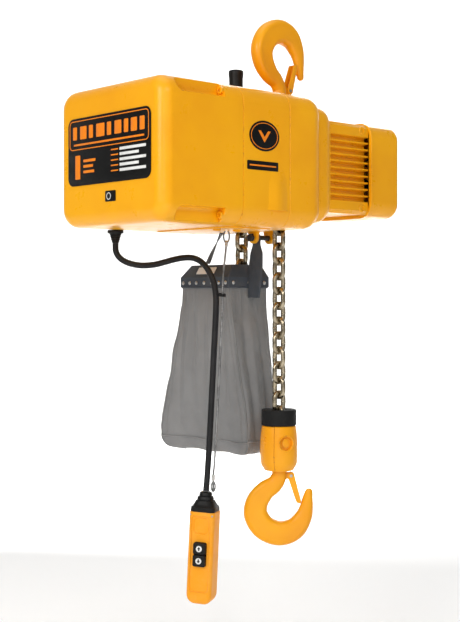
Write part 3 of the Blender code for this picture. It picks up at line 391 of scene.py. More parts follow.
def box_bm(low, high):
    low, high = Vector(low), Vector(high)
    bm = bmesh.new()
    bmesh.ops.create_cube(bm, size=1.0)
    bmesh.ops.scale(bm, vec=high - low, verts=bm.verts)
    bmesh.ops.translate(bm, vec=(low + high) / 2, verts=bm.verts)
    return bm


def rod_bm(middle, axis, radius, length, sides=32):
    bm = bmesh.new()
    bmesh.ops.create_cone(bm, cap_ends=True, segments=sides, radius1=radius, radius2=radius, depth=length)
    turn = Vector((0, 0, 1)).rotation_difference(Vector(axis)).to_matrix().to_4x4()
    bm.transform(Matrix.Translation(middle) @ turn)
    return bm


def revolve(profile, middle=(0, 0, 0), axis=(0, 0, 1), steps=48, start=0.0, sweep=360.0, loop=False):
    """A profile of (radius, height) points turned about the axis."""
    whole = sweep >= 360
    turns = [math.radians(start + sweep * i / steps) for i in range(steps if whole else steps + 1)]
    turn = Vector((0, 0, 1)).rotation_difference(Vector(axis)).to_matrix().to_4x4()
    where = Matrix.Translation(middle) @ turn
    if whole:
        rings = [[where @ Vector((r * math.cos(t), r * math.sin(t), h)) for t in turns] for r, h in profile]
        return skin(rings, loop=loop)
    rings = [[where @ Vector((r * math.cos(t), r * math.sin(t), h)) for r, h in profile] for t in turns]
    return skin(rings)


def prism(name, outlines, depth, matrix, bevel=0.0):
    """Flat outlines filled and extruded, with eased edges; later outlines are holes."""
    curve = bpy.data.curves.new(name, "CURVE")
    curve.dimensions = "2D"
    curve.fill_mode = "BOTH"
    curve.extrude = depth / 2 - bevel
    curve.bevel_depth = bevel
    curve.offset = -bevel
    curve.bevel_resolution = 1
    for outline in outlines:
        spline = curve.splines.new("POLY")
        spline.points.add(len(outline) - 1)
        for point, (a, b) in zip(spline.points, outline):
            point.co = (a, b, 0, 1)
        spline.use_cyclic_u = True
    guide = bpy.data.objects.new(name, curve)
    bpy.context.scene.collection.objects.link(guide)
    bpy.context.view_layer.update()
    mesh = bpy.data.meshes.new_from_object(guide.evaluated_get(bpy.context.evaluated_depsgraph_get()))
    bpy.data.objects.remove(guide)
    bm = bmesh.new()
    bm.from_mesh(mesh)
    bmesh.ops.remove_doubles(bm, verts=bm.verts, dist=0.000005)
    bm.transform(matrix)
    return bm


def arc(middle, radius, start, end, count):
    turns = [math.radians(start + (end - start) * i / (count - 1)) for i in range(count)]
    return [(middle[0] + radius * math.cos(t), middle[1] + radius * math.sin(t)) for t in turns]


def through(points, per=6):
    """Catmull-Rom through points of any size."""
    points = [Vector(p) for p in points]
    points = [2 * points[0] - points[1], *points, 2 * points[-1] - points[-2]]
    fine = []
    for a, b, c, d in zip(points, points[1:], points[2:], points[3:]):
        for i in range(per):
            t = i / per
            fine.append(0.5 * (2 * b + (c - a) * t + (2 * a - 5 * b + 4 * c - d) * t * t
                               + (3 * b - a - 3 * c + d) * t ** 3))
    return [*fine, points[-2]]


def evenly(points, spacing):
    total = sum((q - p).length for p, q in zip(points, points[1:]))
    count = max(2, round(total / spacing))
    out, walked, index = [points[0]], 0.0, 0
    for step in range(1, count):
        wanted = total * step / count
        while walked + (points[index + 1] - points[index]).length < wanted:
            walked += (points[index + 1] - points[index]).length
            index += 1
        leg = points[index + 1] - points[index]
        out.append(points[index] + leg * ((wanted - walked) / leg.length))
    return [*out, points[-1]]


def tube_bm(points, radius, sides=12, loop=False):
    """A round bar along points; radius may be a list."""
    rings, normal = [], None
    count = len(points)
    for index, point in enumerate(points):
        after = points[(index + 1) % count] if loop else points[min(index + 1, count - 1)]
        before = points[index - 1] if loop else points[max(index - 1, 0)]
        along = (after - before).normalized()
        if normal is None:
            normal = along.orthogonal().normalized()
        normal = (normal - along * normal.dot(along)).normalized()
        side = along.cross(normal)
        size = radius[index] if isinstance(radius, list) else radius
        rings.append([point + (normal * math.cos(t) + side * math.sin(t)) * size
                      for t in (math.tau * i / sides for i in range(sides))])
    return skin(rings, loop=loop)


def merge(*parts):
    """Several shapes in one mesh."""
    whole = bmesh.new()
    for part in parts:
        mesh = bpy.data.meshes.new("part")
        bmesh.ops.recalc_face_normals(part, faces=part.faces)
        part.to_mesh(mesh)
        part.free()
        whole.from_mesh(mesh)
        bpy.data.meshes.remove(mesh)
    return whole


# ---------------------------------------------------------------- camera, floor and light
def build_stage():
    scene = bpy.context.scene
    camera = bpy.data.objects.new("camera", bpy.data.cameras.new("camera"))
    scene.collection.objects.link(camera)
    camera.location = (-1.339, -1.373, -0.3985)
    camera.rotation_euler = (math.radians(90 - 0.513), 0, math.radians(-42))
    camera.data.lens = 71.07
    camera.data.sensor_width = 36
    scene.camera = camera
    scene.view_settings.view_transform = "Standard"
    scene.world = bpy.data.worlds.new("studio")
    scene.world.use_nodes = True
    sky = scene.world.node_tree.nodes["Background"]
    sky.inputs["Color"].default_value = (1.0, 0.995, 0.985, 1)
    sky.inputs["Strength"].default_value = 0.24
    floor = bpy.data.objects.new("floor", bpy.data.meshes.new("floor"))
    bm = skin([[Vector((12, y, z)), Vector((-12, y, z))] for y, z in
               [(-12, -1.0), (5, -1.0), *[(5 + 2 * math.sin(t), 1 - 2 * math.cos(t))
                for t in (math.radians(9 * i) for i in range(1, 10))], (7, 9)]], (False, False), False)
    bm.transform(Matrix.Rotation(math.radians(-42), 4, "Z"))
    bm.to_mesh(floor.data)
    bm.free()
    scene.collection.objects.link(floor)
    pale = Look("studio_floor", 0.7, Emission_Color=(1, 1, 0.995, 1), Emission_Strength=0.14)
    pale.color(pale.mix(pale.noise(2, 2), (0.92, 0.92, 0.915), (0.94, 0.94, 0.935)))
    floor.data.materials.append(pale.material)
    floor.data.shade_smooth()
    middle = (-0.05, 0.03, -0.35)
    for name, spot, aim_at, size, power, tone in (
        ("key", (-2.3, -0.5, 0.6), middle, (0.9, 1.1), 25, (1, 0.985, 0.96)),
        ("front", (-0.9, -2.2, 0.9), middle, (1.3, 0.6), 15, (1, 0.99, 0.975)),
        ("strip", (-1.7, -1.5, 0.1), middle, (0.16, 1.3), 4, (1, 1, 1)),
        ("top", (-0.2, 0.1, 2.6), (-0.2, 0.1, 0), (2.6, 2.6), 30, (1, 1, 1)),
        ("rim", (1.7, 1.2, 0.9), middle, (0.7, 0.7), 10, (1, 1, 1)),
        ("under", (-0.7, -1.0, -0.96), middle, (1.2, 0.9), 2.5, (1, 0.985, 0.96)),
        ("wall_left", (-0.4, 1.9, 0.6), (3.2, 4.8, 0.6), (2.0, 2.0), 190, (1, 1, 1)),
        ("wall_right", (2.2, 0.6, -0.2), (4.8, 3.4, -0.4), (2.0, 2.0), 190, (1, 1, 1)),
    ):
        data = bpy.data.lights.new(name, "AREA")
        data.shape = "RECTANGLE"
        data.size, data.size_y = size
        data.energy = power
        data.color = tone
        lamp = bpy.data.objects.new(name, data)
        scene.collection.objects.link(lamp)
        lamp.location = spot
        aim = Vector(aim_at) - Vector(spot)
        lamp.rotation_euler = aim.to_track_quat("-Z", "Y").to_euler()


build_stage()


# ---------------------------------------------------------------- cords
def cord_curve(name, points, radius, look, stands_for=()):
    curve = bpy.data.curves.new(name, "CURVE")
    curve.dimensions = "3D"
    curve.bevel_depth = radius
    curve.bevel_resolution = 5
    curve.use_fill_caps = True
    spline = curve.splines.new("POLY")
    spline.points.add(len(points) - 1)
    for point, where in zip(spline.points, points):
        point.co = (*where, 1)
    spline.use_smooth = True
    curve.materials.append(look)
    made = bpy.data.objects.new(name, curve)
    bpy.context.scene.collection.objects.link(made)
    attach(made, "hoist")
    if stands_for:
        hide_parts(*stands_for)
    return made


def build_cords():
    cable_points = [Vector(CABLE_ROUTE[0]), *evenly(through(CABLE_ROUTE[1:], 12), 0.005)]
    cable = cord_curve("cable", cable_points, CABLE_RADIUS, JACKET, ["pendant_cable"])
    wire_points = evenly(through(STRAIN_ROUTE[1:], 12), 0.005)
    wire = cord_curve("strain_rope", wire_points, WIRE_RADIUS, ROPE, ["strain_wire"])
    x, y, _ = CABLE_ROUTE[0]
    top = CASE_Z[0] - GAP
    profile = [(0.0005, top), (0.0118, top), (0.0124, top - 0.0008), (0.0124, top - 0.0042),
               (0.0116, top - 0.0050), (0.0094, top - 0.0052)]
    for i in range(5):
        level = top - 0.0060 - i * 0.0026
        radius = 0.0092 - i * 0.00072
        profile += [(radius, level), (radius, level - 0.0014), (radius - 0.0011, level - 0.0017),
                    (radius - 0.0012, level - 0.0024)]
    profile += [(0.0056, top - 0.0196), (0.0049, top - 0.0197)]
    gland = piece("gland", revolve(profile, (x, y, 0)), "hoist", BLACK, ["cable_gland"], sharp=50)
    eye = [Vector((-0.0812, 0.0320, -0.3010)) + Vector((0.0038 * math.sin(t), -0.0022 * math.sin(t),
                                                        0.0098 * math.cos(t)))
           for t in (math.tau * i / 28 for i in range(28))]
    loop = piece("rope_eye", tube_bm(eye, 0.0013, 10, True), "hoist", ROPE)
    for index, (share, look, radius, half) in enumerate(((0.012, STEEL, 0.0026, 0.0048),
                                                         (0.955, STEEL, 0.0026, 0.0045))):
        at = wire_points[int(share * (len(wire_points) - 1))]
        after = wire_points[int(share * (len(wire_points) - 1)) + 1]
        profile = [(0.0017, -half), (radius - 0.0005, -half), (radius, -half + 0.0006), (radius, -0.0006),
                   (radius - 0.0004, 0), (radius, 0.0006), (radius, half - 0.0006), (radius - 0.0005, half),
                   (0.0017, half)]
        piece(f"ferrule_{index}",
                             revolve(profile, at, (after - at).normalized(), 24, loop=True),
                             "hoist", look, sharp=50)
    tie_at = Vector((-0.0892, 0.0365, -0.3905))
    band = []
    for i in range(36):
        t = math.tau * i / 36
        band.append(tie_at + Vector((0.0068 * math.cos(t) * 0.9 + 0.001 * math.sin(t), 0.0096 * math.sin(t),
                                     0.0010 * math.sin(t))))
    rings = [[p + Vector((0, 0, dz)) + (p - tie_at).normalized() * out for dz, out in
              ((-0.0022, 0), (-0.0022, 0.0008), (0.0022, 0.0008), (0.0022, 0))] for p in band]
    tie = piece("cable_tie", skin(rings, loop=True), "hoist", BLACK, sharp=40)
    foot = wire_points[-1]
    small = [foot + Vector((0.0030 * math.sin(t), -0.0012 * math.sin(t),
                            0.0045 - 0.0075 * math.cos(t) + 0.002))
             for t in (math.tau * i / 24 for i in range(24))]
    lower = piece("rope_loop", tube_bm(small, 0.0011, 10, True), "hoist", ROPE)


build_cords()


# ---------------------------------------------------------------- housing
def housing(x_open, x_end, y, z, edge, end_edge, wall, steps=8, lip=0.0008):
    """The outside and the hollow of a box-shaped shell, open at x_open."""
    sign = 1 if x_end > x_open else -1
    outer = [x_ring(x_open, y, z, edge, lip), x_ring(x_open + sign * lip, y, z, edge, 0)]
    for step in range(steps + 1):
        turn = math.radians(90 * step / steps)
        outer.append(x_ring(x_end - sign * end_edge * (1 - math.sin(turn)), y, z, edge,
                            end_edge * (1 - math.cos(turn))))
    inner_y, inner_z = (y[0] + wall, y[1] - wall), (z[0] + wall, z[1] - wall)
    inner_end = max(end_edge - wall, 0.001)
    inner = [x_ring(x_open - sign * 0.01, inner_y, inner_z, edge - wall, 0)]
    for step in range(steps + 1):
        turn = math.radians(90 * step / steps)
        inner.append(x_ring(x_end - sign * (wall + inner_end * (1 - math.sin(turn))), inner_y, inner_z,
                            edge - wall, inner_end * (1 - math.cos(turn))))
    return skin(outer), skin(inner)


def at_corners(low, high):
    """A box at each of the case's four long edges."""
    over_y, over_z = sum(CASE_Y) / 2, sum(CASE_Z) / 2
    boxes = []
    for flip_y in (False, True):
        for flip_z in (False, True):
            ys = sorted(2 * over_y - v if flip_y else v for v in (low[1], high[1]))
            zs = sorted(2 * over_z - v if flip_z else v for v in (low[2], high[2]))
            boxes.append(((low[0], ys[0], zs[0]), (high[0], ys[1], zs[1])))
    return boxes


def pocket(low, high, radius=0.007):
    """A cutter with a rounded end and floor."""
    x, y, z = (low[0], high[0]), (low[1], high[1]), (low[2], high[2])
    rings = [x_ring(high[0], y, z, radius, 0, 4)]
    for step in range(7):
        turn = math.radians(90 * step / 6)
        rings.append(x_ring(x[0] + 0.011 * (1 - math.sin(turn)), y, z, radius,
                            0.0105 * (1 - math.cos(turn)), 4))
    return skin(rings)


def build_housing():
    outside = 0.02
    notches = at_corners((-0.268, CASE_Y[0] - outside, CASE_Z[1] - 0.023),
                         (-0.180, CASE_Y[0] + 0.016, CASE_Z[1] + outside))
    spares = at_corners((-0.275, CASE_Y[0] - outside, CASE_Z[1] - 0.028),
                        (MID_X + 0.02, CASE_Y[0] + 0.021, CASE_Z[1] + outside))
    outer, inner = housing(MID_X, COVER_X, CASE_Y, CASE_Z, CASE_ROUND, 0.020, CASE_WALL)
    hollow = baked(inner, [box_bm(*spare) for spare in spares])
    cover = baked(outer, [hollow, *[pocket(*notch) for notch in notches]])
    piece("control_shell", cover, "hoist", YELLOW, ["control_cover"], bevel=0.0010, segments=2)

    outer, inner = housing(MID_X + GAP, CASE_X, CASE_Y, CASE_Z, CASE_ROUND, 0.0008, CASE_WALL, 2)
    bosses = at_corners((MID_X - 0.02, CASE_Y[0] - outside, CASE_Z[1] - 0.023),
                        (MID_X + 0.022, CASE_Y[0] + 0.021, CASE_Z[1] + outside))
    hollow = baked(inner, [box_bm(*boss) for boss in bosses])
    bores = [rod_bm((CASE_X, DRIVE_Y, DRIVE_Z), (1, 0, 0), 0.0244, 0.03),
             rod_bm((CASE_X, 0.097, DRIVE_Z), (1, 0, 0), 0.0063, 0.03, 16)]
    piece("mid_shell", baked(outer, [hollow, *bores]), "hoist", YELLOW, ["mid_case"], bevel=0.0008,
          segments=2)
    # the cast bulge low on the long side
    rings = []
    for row in range(25):
        z = CASE_Z[0] + 0.024 + 0.070 * row / 24
        rise = math.sin(math.pi * min(1.0, row / 24 * 0.62 + 0.38)) ** 1.5
        front = [Vector((-0.100 + 0.046 * i / 24,
                         CASE_Y[0] + 0.0004 - 0.0040 * rise * math.sin(math.pi * i / 24) ** 1.6, z))
                 for i in range(25)]
        rings.append(front + [Vector((-0.054, CASE_Y[0] + 0.003, z)),
                              Vector((-0.100, CASE_Y[0] + 0.003, z))])
    piece("case_bulge", skin(rings), "hoist", YELLOW, sharp=40)

    outer, inner = housing(CASE_X + GAP, FLANGE_X, CASE_Y, CASE_Z, CASE_ROUND, 0.028, CASE_WALL)
    cuts = [inner, rod_bm((FLANGE_X, DRIVE_Y, DRIVE_Z), (1, 0, 0), 0.0244, 0.03)]
    for y in (0.0, 2 * DRIVE_Y):
        cuts.append(skin([[Vector((a, y + b, z)) for a,
                           b in round_rect(0.017, 0.017, 0.003, 4)] for z in (-0.32, -0.27)]))
    cuts.append(rod_bm((0, 0, CASE_Z[1]), (0, 0, 1), SHANK_RADIUS + 0.0012, 0.04))
    slot = skin([[Vector((FLANGE_X - 0.017 + a, y, CASE_Z[0] + 0.033 + b)) for a,
                  b in round_rect(0.0035, 0.0075, 0.003, 4)]
                 for y in (CASE_Y[0] - 0.01, CASE_Y[0] + 0.002)])
    cuts.append(slot)
    piece("right_shell", baked(outer, cuts), "hoist", YELLOW, ["right_case"], bevel=0.0008, segments=2)
    face_x = Matrix(((0, 0, 1, 0), (1, 0, 0, 0), (0, 1, 0, 0), (0, 0, 0, 1)))
    for index, x in enumerate((-0.0165, 0.0180)):
        outline = [(DRIVE_Y - 0.0125, CASE_Z[0] + 0.0035), (DRIVE_Y - 0.0097, -0.2965),
                   *arc((DRIVE_Y, LUG_PIN_Z), 0.0095, 188, 352, 14),
                   (DRIVE_Y + 0.0097, -0.2965), (DRIVE_Y + 0.0125, CASE_Z[0] + 0.0035)]
        hole = arc((DRIVE_Y, LUG_PIN_Z), 0.0043, 0, 345, 24)
        piece(f"bag_lug_{index}", prism("lug", [outline, hole], 0.006,
                                        Matrix.Translation((x + 0.003, 0, 0)) @ face_x, 0.0008),
              "hoist", YELLOW, sharp=40)
    # shallow foot below the mid case
    x0, x1, y, z, drop = -0.143, -0.055, CASE_Y[0] + 0.020, CASE_Z[0], 0.003
    rings = [[Vector((sum((x0, x1)) / 2 + a, y + 0.10 + b, z + 0.001 - h))
              for a, b in round_rect((x1 - x0) / 2 - s, 0.088 - s, 0.010 - s, 5)]
             for h, s in ((0, 0), (drop * 0.7, 0), (drop * 0.92, 0.0006), (drop, 0.0016))]
    piece("sump_rib_1", skin(rings), "hoist", YELLOW)
    for index, (x, y) in enumerate(((-0.129, 0.0), (-0.089, 0.0))):
        profile = [(0.0005, CASE_Z[0] + 0.002), (0.0062, CASE_Z[0] + 0.002), (0.0062, CASE_Z[0] - 0.0035),
                   (0.0052, CASE_Z[0] - 0.0045), (0.0035, CASE_Z[0] - 0.0045), (0.0033, CASE_Z[0] - 0.0028),
                   (0.0004, CASE_Z[0] - 0.0028)]
        piece(f"drain_boss_{index}", revolve(profile, (x, y, 0), steps=28), "hoist", YELLOW, sharp=40)

    y, z = (DRIVE_Y - 0.089, DRIVE_Y + 0.089), (DRIVE_Z - 0.092, DRIVE_Z + 0.092)
    outer, inner = housing(FLANGE_X + GAP, MOTOR_X, y, z, CASE_ROUND, 0.024, CASE_WALL)
    piece("flange_shell", baked(outer, [inner,
                                        rod_bm((MOTOR_X, DRIVE_Y, DRIVE_Z), (1, 0, 0), 0.0163, 0.03)]),
          "hoist", YELLOW, ["flange_housing"], bevel=0.0008)

    # finned motor frame
    outline = []
    width, height, pitch, depth, half = 0.072, 0.073, 0.0108, 0.009, 0.0015
    for side in (1, -1):
        outline.append((side * (width - 0.006), -side * height))
        outline.append((side * width, -side * (height - 0.006)))
        for index in range(10):
            level = side * (index - 4.5) * pitch
            low, high = level - side * (pitch / 2 - half), level + side * (pitch / 2 - half)
            mouth, floor = side * width, side * (width - depth)
            outline += [(mouth, low - side * 0.0007), (mouth - side * 0.0008, low),
                        (floor + side * 0.0012, low + side * 0.0005),
                        (floor, low + side * 0.0018), (floor, high - side * 0.0018),
                        (floor + side * 0.0012, high - side * 0.0005),
                        (mouth - side * 0.0008, high), (mouth, high + side * 0.0007)]
        outline += [(side * width, side * (height - 0.006)), (side * (width - 0.006), side * height)]
    bore = arc((0, 0), 0.0603, 0, 352.5, 48)
    start = MOTOR_X + 0.006
    where = Matrix.Translation(((start + FAN_X) / 2, DRIVE_Y, DRIVE_Z)) @ face_x
    fins = prism("fins", [outline, bore], FAN_X - start - 0.0004, where, 0.0004)
    collar = prism("collar", [round_rect(width, height, 0.008, 6), bore], 0.0062,
                   Matrix.Translation((MOTOR_X + 0.0034, DRIVE_Y, DRIVE_Z)) @ face_x, 0.0006)
    piece("motor_fins", merge(fins, collar), "hoist", YELLOW, ["motor_frame"], sharp=35)
    for index, (sign, level) in enumerate(((-1, 0.0635), (-1, -0.0635), (1, 0.0635), (1, -0.0635))):
        y = DRIVE_Y + sign * (width - 0.0015)
        where = (FAN_X - 0.016, y, DRIVE_Z + level)
        profile = [(0.0004, -0.004), (0.0064, -0.004), (0.0064, 0.0018), (0.0056, 0.0026), (0.0040, 0.0026),
                   (0.0038, 0.0012), (0.0004, 0.0012)]
        piece(f"motor_boss_{index}", revolve(profile, where, (0, sign, 0), 28), "hoist", YELLOW, sharp=40)

    # fan cover with a rolled rim and a shallow dome
    y, z = (DRIVE_Y - 0.077, DRIVE_Y + 0.077), (DRIVE_Z - 0.077, DRIVE_Z + 0.077)
    end = END_X - 0.0022
    rings = [x_ring(FAN_X, y, z, 0.024, 0.003), x_ring(FAN_X, y, z, 0.025, -0.0004),
             x_ring(FAN_X + 0.0006, y, z, 0.025, -0.0014),
             x_ring(FAN_X + 0.0034, y, z, 0.025, -0.0014), x_ring(FAN_X + 0.0042, y, z, 0.025, -0.0004),
             x_ring(FAN_X + 0.0048, y, z, 0.025, 0.0006)]
    for step in range(9):
        turn = math.radians(90 * step / 8)
        rings.append(x_ring(end - 0.012 * (1 - math.sin(turn)), y, z, 0.025,
                            0.0006 + 0.012 * (1 - math.cos(turn))))
    inner = [x_ring(FAN_X - 0.01, y, z, 0.021,
                    0.004)] + [x_ring(end - 0.004 - 0.009 * (1 - math.sin(math.radians(15 * s))), y, z,
             0.021, 0.004 + 0.009 * (1 - math.cos(math.radians(15 * s)))) for s in range(7)]
    shell = baked(skin(rings), [skin(inner)])
    piece("fan_shell", shell, "hoist", YELLOW, ["fan_cover"], bevel=0.0005, segments=1)
    profile = [(0.0004, -0.002), (0.040, -0.002), (0.0395, -0.0002), (0.0375, 0.0004), (0.034, 0.0009),
               (0.026, 0.0015), (0.014, 0.0020), (0.0004, 0.0022)]
    piece("fan_dome", revolve(profile, (end, DRIVE_Y, DRIVE_Z), (1, 0, 0), 48), "hoist", YELLOW)
    for index in range(8):
        t = math.tau * (index + 0.5) / 8
        where = Matrix.Translation((end + 0.0006, DRIVE_Y + 0.050 * math.cos(t),
                                    DRIVE_Z + 0.050 * math.sin(t))) @ face_x @ Matrix.Rotation(t, 4, "Z")
        piece(f"fan_vent_{index}", prism("vent", [round_rect(0.0085, 0.0022, 0.0022, 5)], 0.0010, where,
                                         0.0003), "hoist", BLACK, sharp=40)


def turned_ring(x, y, z, radius, flats=False, sides=24):
    """A ring across X; with flats, a hexagon whose flats are at the radius."""
    points = []
    for i in range(sides):
        t = math.tau * i / sides
        reach = radius / math.cos((t % (math.tau / 6)) - math.tau / 12) if flats else radius
        points.append(Vector((x, y + reach * math.cos(t), z + reach * math.sin(t))))
    return points


def build_screws():
    over_y, over_z = sum(CASE_Y) / 2, sum(CASE_Z) / 2
    head_x = -0.1843
    steps = ((0.0029, 0.050), (0.0029, 0.0040), (0.0050, 0.0040), (0.0052, 0.0036), (0.0052, 0.0006),
             (0.0047, 0),
             (0.0026, 0, True), (0.0025, 0.0024, True))
    for index, (sign_y, sign_z) in enumerate(((-1, 1), (-1, -1), (1, 1), (1, -1)), 1):
        y = over_y + sign_y * ((CASE_Y[1] - CASE_Y[0]) / 2 - 0.0095)
        z = over_z + sign_z * ((CASE_Z[1] - CASE_Z[0]) / 2 - 0.013)
        rings = [turned_ring(head_x + along, y, z, radius, *flats) for radius, along, *flats in steps]
        piece(f"case_screw_{index}", skin(rings), "hoist", YELLOW, [f"cover_screw_{index}"], sharp=35)
    low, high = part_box("lug_pin")
    steps = ((0.0052, low.x), (0.0060, low.x + 0.0008, True), (0.0060, low.x + 0.0048, True),
             (0.0040, low.x + 0.0049),
             (0.0040, high.x - 0.0008), (0.0033, high.x))
    rings = [turned_ring(x, DRIVE_Y, LUG_PIN_Z, radius, *flats) for radius, x, *flats in steps]
    piece("lug_bolt", skin(rings), "hoist", BLACK_STEEL, ["lug_pin"], sharp=30)
    x, y = -0.036, 0.060
    profile = [(0.0004, -0.0865), (0.0100, -0.0865), (0.0104, -0.0875), (0.0122, -0.0872),
               (0.0122, -0.0835), (0.0112, -0.0828), (0.0108, -0.0600),
               (0.0110, -0.0500), (0.0118, -0.0440), (0.0118, -0.0395), (0.0110, -0.0378),
               (0.0092, -0.0371), (0.0078, -0.0376), (0.0004, -0.0384)]
    piece("cap_plug", revolve(profile[::-1], (x, y, 0), steps=36), "hoist", BLACK, ["top_cap"], sharp=50)


build_housing()
build_screws()


# ---------------------------------------------------------------- marks
def mark(name, outline, depth, x, y, z, look, facing, bevel=0.0001, holes=()):
    """A thin print or plate on the cover's end (facing -X) or on the long side (facing -Y)."""
    if facing == "-X":
        turn = Matrix(((0, 0, -1, 0), (-1, 0, 0, 0), (0, 1, 0, 0), (0, 0, 0, 1)))
    else:
        turn = Matrix(((1, 0, 0, 0), (0, 0, -1, 0), (0, 1, 0, 0), (0, 0, 0, 1)))
    return piece(name, prism(name, [outline, *holes], depth, Matrix.Translation((x, y, z)) @ turn, bevel),
                 "hoist", look, sharp=40)


def build_marks():
    plate_x, mid_y, mid_z = -0.2957, 0.0455, -0.1815
    plate = mark("name_plate", round_rect(0.0985, 0.0495, 0.012, 8), 0.0008, plate_x, mid_y, mid_z, LABEL,
                 "-X", 0.0002)
    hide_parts("nameplate")
    face = plate_x - 0.0005
    mark("plate_border", round_rect(0.0945, 0.0215, 0.007, 6), 0.0003, face, mid_y, mid_z + 0.0245, ORANGE,
         "-X",
         holes=[round_rect(0.0931, 0.0201, 0.0058, 6)])
    bars = ((-0.086, 0.010), (-0.068, 0.016), (-0.046, 0.010), (-0.028, 0.020), (-0.002, 0.010),
            (0.016, 0.016), (0.038, 0.010), (0.054, 0.014), (0.074, 0.011))
    for index, (left, wide) in enumerate(bars):
        mark(f"plate_block_{index}", round_rect(wide / 2, 0.0095, 0.0015, 4), 0.0003, face,
             mid_y - left - wide / 2, mid_z + 0.0275, ORANGE, "-X")
    mark("plate_rule", round_rect(0.084, 0.0014, 0.0007, 3), 0.0003, face, mid_y, mid_z + 0.0105, ORANGE,
         "-X")
    mark("plate_column", round_rect(0.0062, 0.0175, 0.0012, 4), 0.0003, face, mid_y + 0.074, mid_z - 0.0225,
         ORANGE, "-X")
    for index, (level, wide) in enumerate(((-0.014, 0.030), (-0.022, 0.024), (-0.030, 0.027))):
        mark(f"plate_dash_{index}", round_rect(wide / 2, 0.0020, 0.001, 3), 0.0003, face,
             mid_y + 0.060 - wide / 2, mid_z + level, ORANGE, "-X")
    for index, level in enumerate((-0.0035, -0.0110, -0.0185, -0.0260, -0.0335)):
        long = 0.060 if index % 2 == 0 else 0.044
        mark(f"plate_field_{index}", round_rect(long / 2, 0.0020, 0.0006, 3), 0.0003, face,
             mid_y - 0.028 - long / 2, mid_z + level, WHITE, "-X")
        mark(f"plate_note_{index}", round_rect(0.0085, 0.0009, 0.0004, 3), 0.0003, face, mid_y - 0.016,
             mid_z + level, ORANGE, "-X")
    mark("side_tag", round_rect(0.0125, 0.0078, 0.0020, 5), 0.0004, -0.2953, 0.0405, -0.2503, LABEL, "-X",
         0.0001)
    mark("tag_ring", arc((0, 0), 0.0052, 0, 350, 36), 0.0003, -0.2956, 0.0445, -0.2503, WHITE, "-X",
         holes=[arc((0, 0), 0.0041, 0, 350, 36)])
    side_y = CASE_Y[0] - 0.0003
    oval = [(0.0300 * math.cos(math.tau * i / 64), 0.0222 * math.sin(math.tau * i / 64)) for i in range(64)]
    mark("side_disc", oval, 0.0005, -0.105, side_y, -0.160, LABEL, "-Y", 0.0001)
    inner = [(0.0268 * math.cos(math.tau * i / 64),
              0.0192 * math.sin(math.tau * i / 64)) for i in range(64)]
    inmost = [(a * 0.955, b * 0.945) for a, b in inner]
    mark("disc_ring", inner, 0.0003, -0.105, side_y - 0.0004, -0.160, ORANGE, "-Y", holes=[inmost])
    chevron = [(-0.0125, 0.0075), (-0.0070, 0.0075), (0.0, -0.0015), (0.0070, 0.0075), (0.0125, 0.0075),
               (0.0, -0.0095)]
    mark("disc_chevron", chevron, 0.0003, -0.105, side_y - 0.0004, -0.160, ORANGE, "-Y")
    mark("side_strip", round_rect(0.0310, 0.0066, 0.0016, 4), 0.0005, -0.108, side_y, -0.2035, LABEL, "-Y")
    mark("strip_line", round_rect(0.0265, 0.0011, 0.0005, 3), 0.0003, -0.108, side_y - 0.0004, -0.2035,
         ORANGE, "-Y")


build_marks()


# ---------------------------------------------------------------- chain
def link_bm(matrix, around=12, bend_steps=10):
    """One oval link of round wire, with a weld bead round the middle of one bar."""
    bend = (LINK_WIDTH - WIRE) / 2
    straight = PITCH / 2 + WIRE / 2 - 0.0004 - bend
    path = []
    for start, shift in ((0, straight), (180, -straight)):
        for step in range(bend_steps + 1):
            turn = math.radians(start + 180 * step / bend_steps)
            path.append((bend * math.cos(turn), bend * math.sin(turn) + shift, turn))
    rings = []
    for a, c, turn in path:
        outward = Vector((math.cos(turn), 0, math.sin(turn)))
        ring = []
        for side in range(around):
            spin = math.tau * side / around
            ring.append(matrix @ (Vector((a, 0,
                                          c)) + (outward * math.cos(spin) + Vector((0, 1,
                                                  0)) * math.sin(spin)) * WIRE / 2))
        rings.append(ring)
    weld = matrix @ Vector((bend, 0, 0))
    across = (matrix.to_3x3() @ Vector((0, 0, 1))).normalized()
    side_a = (matrix.to_3x3() @ Vector((1, 0, 0))).normalized()
    side_b = across.cross(side_a)
    seam = []
    for height, radius in ((-0.0013, WIRE / 2 - 0.0003), (-0.0006, WIRE / 2 + 0.00035),
                           (0.0006, WIRE / 2 + 0.00035), (0.0013, WIRE / 2 - 0.0003)):
        seam.append([weld + across * height + (side_a * math.cos(t) + side_b * math.sin(t)) * radius
                     for t in (math.tau * i / around for i in range(around))])
    return merge(skin(rings, loop=True), skin(seam))


def build_chain():
    top = BLOCK_LINK_Z + (LOAD_LINKS - 1) * PITCH
    turned_by = (Matrix.Identity(4), QUARTER)
    load = [Matrix.Translation((0, 0, BLOCK_LINK_Z + i * PITCH)) @ turned_by[i % 2]
            for i in range(LOAD_LINKS)]
    slack = [Matrix.Translation((0, 2 * DRIVE_Y,
                                 top - i * PITCH)) @ turned_by[i % 2] for i in range(SLACK_LINKS)]
    still = []
    for index in range(WRAP_LINKS):
        angle = math.pi * (index + 1) / (WRAP_LINKS + 1)
        middle = (0, DRIVE_Y - DRIVE_Y * math.cos(angle), DRIVE_Z + DRIVE_Y * math.sin(angle))
        still.append(Matrix.Translation(middle) @ Matrix.Rotation(-angle, 4, "X") @ turned_by[index % 2])
    still += load[-HIDDEN_LINKS:] + slack[:HIDDEN_LINKS]
    piece("load_links", merge(*[link_bm(m) for m in load]), "load_block", CHAIN, ["load_chain"])
    piece("slack_links", merge(*[link_bm(m) for m in slack]), "slack_chain", CHAIN, ["slack_chain"])
    piece("sheave_links", merge(*[link_bm(m) for m in still]), "hoist", CHAIN, ["sheave_chain"])


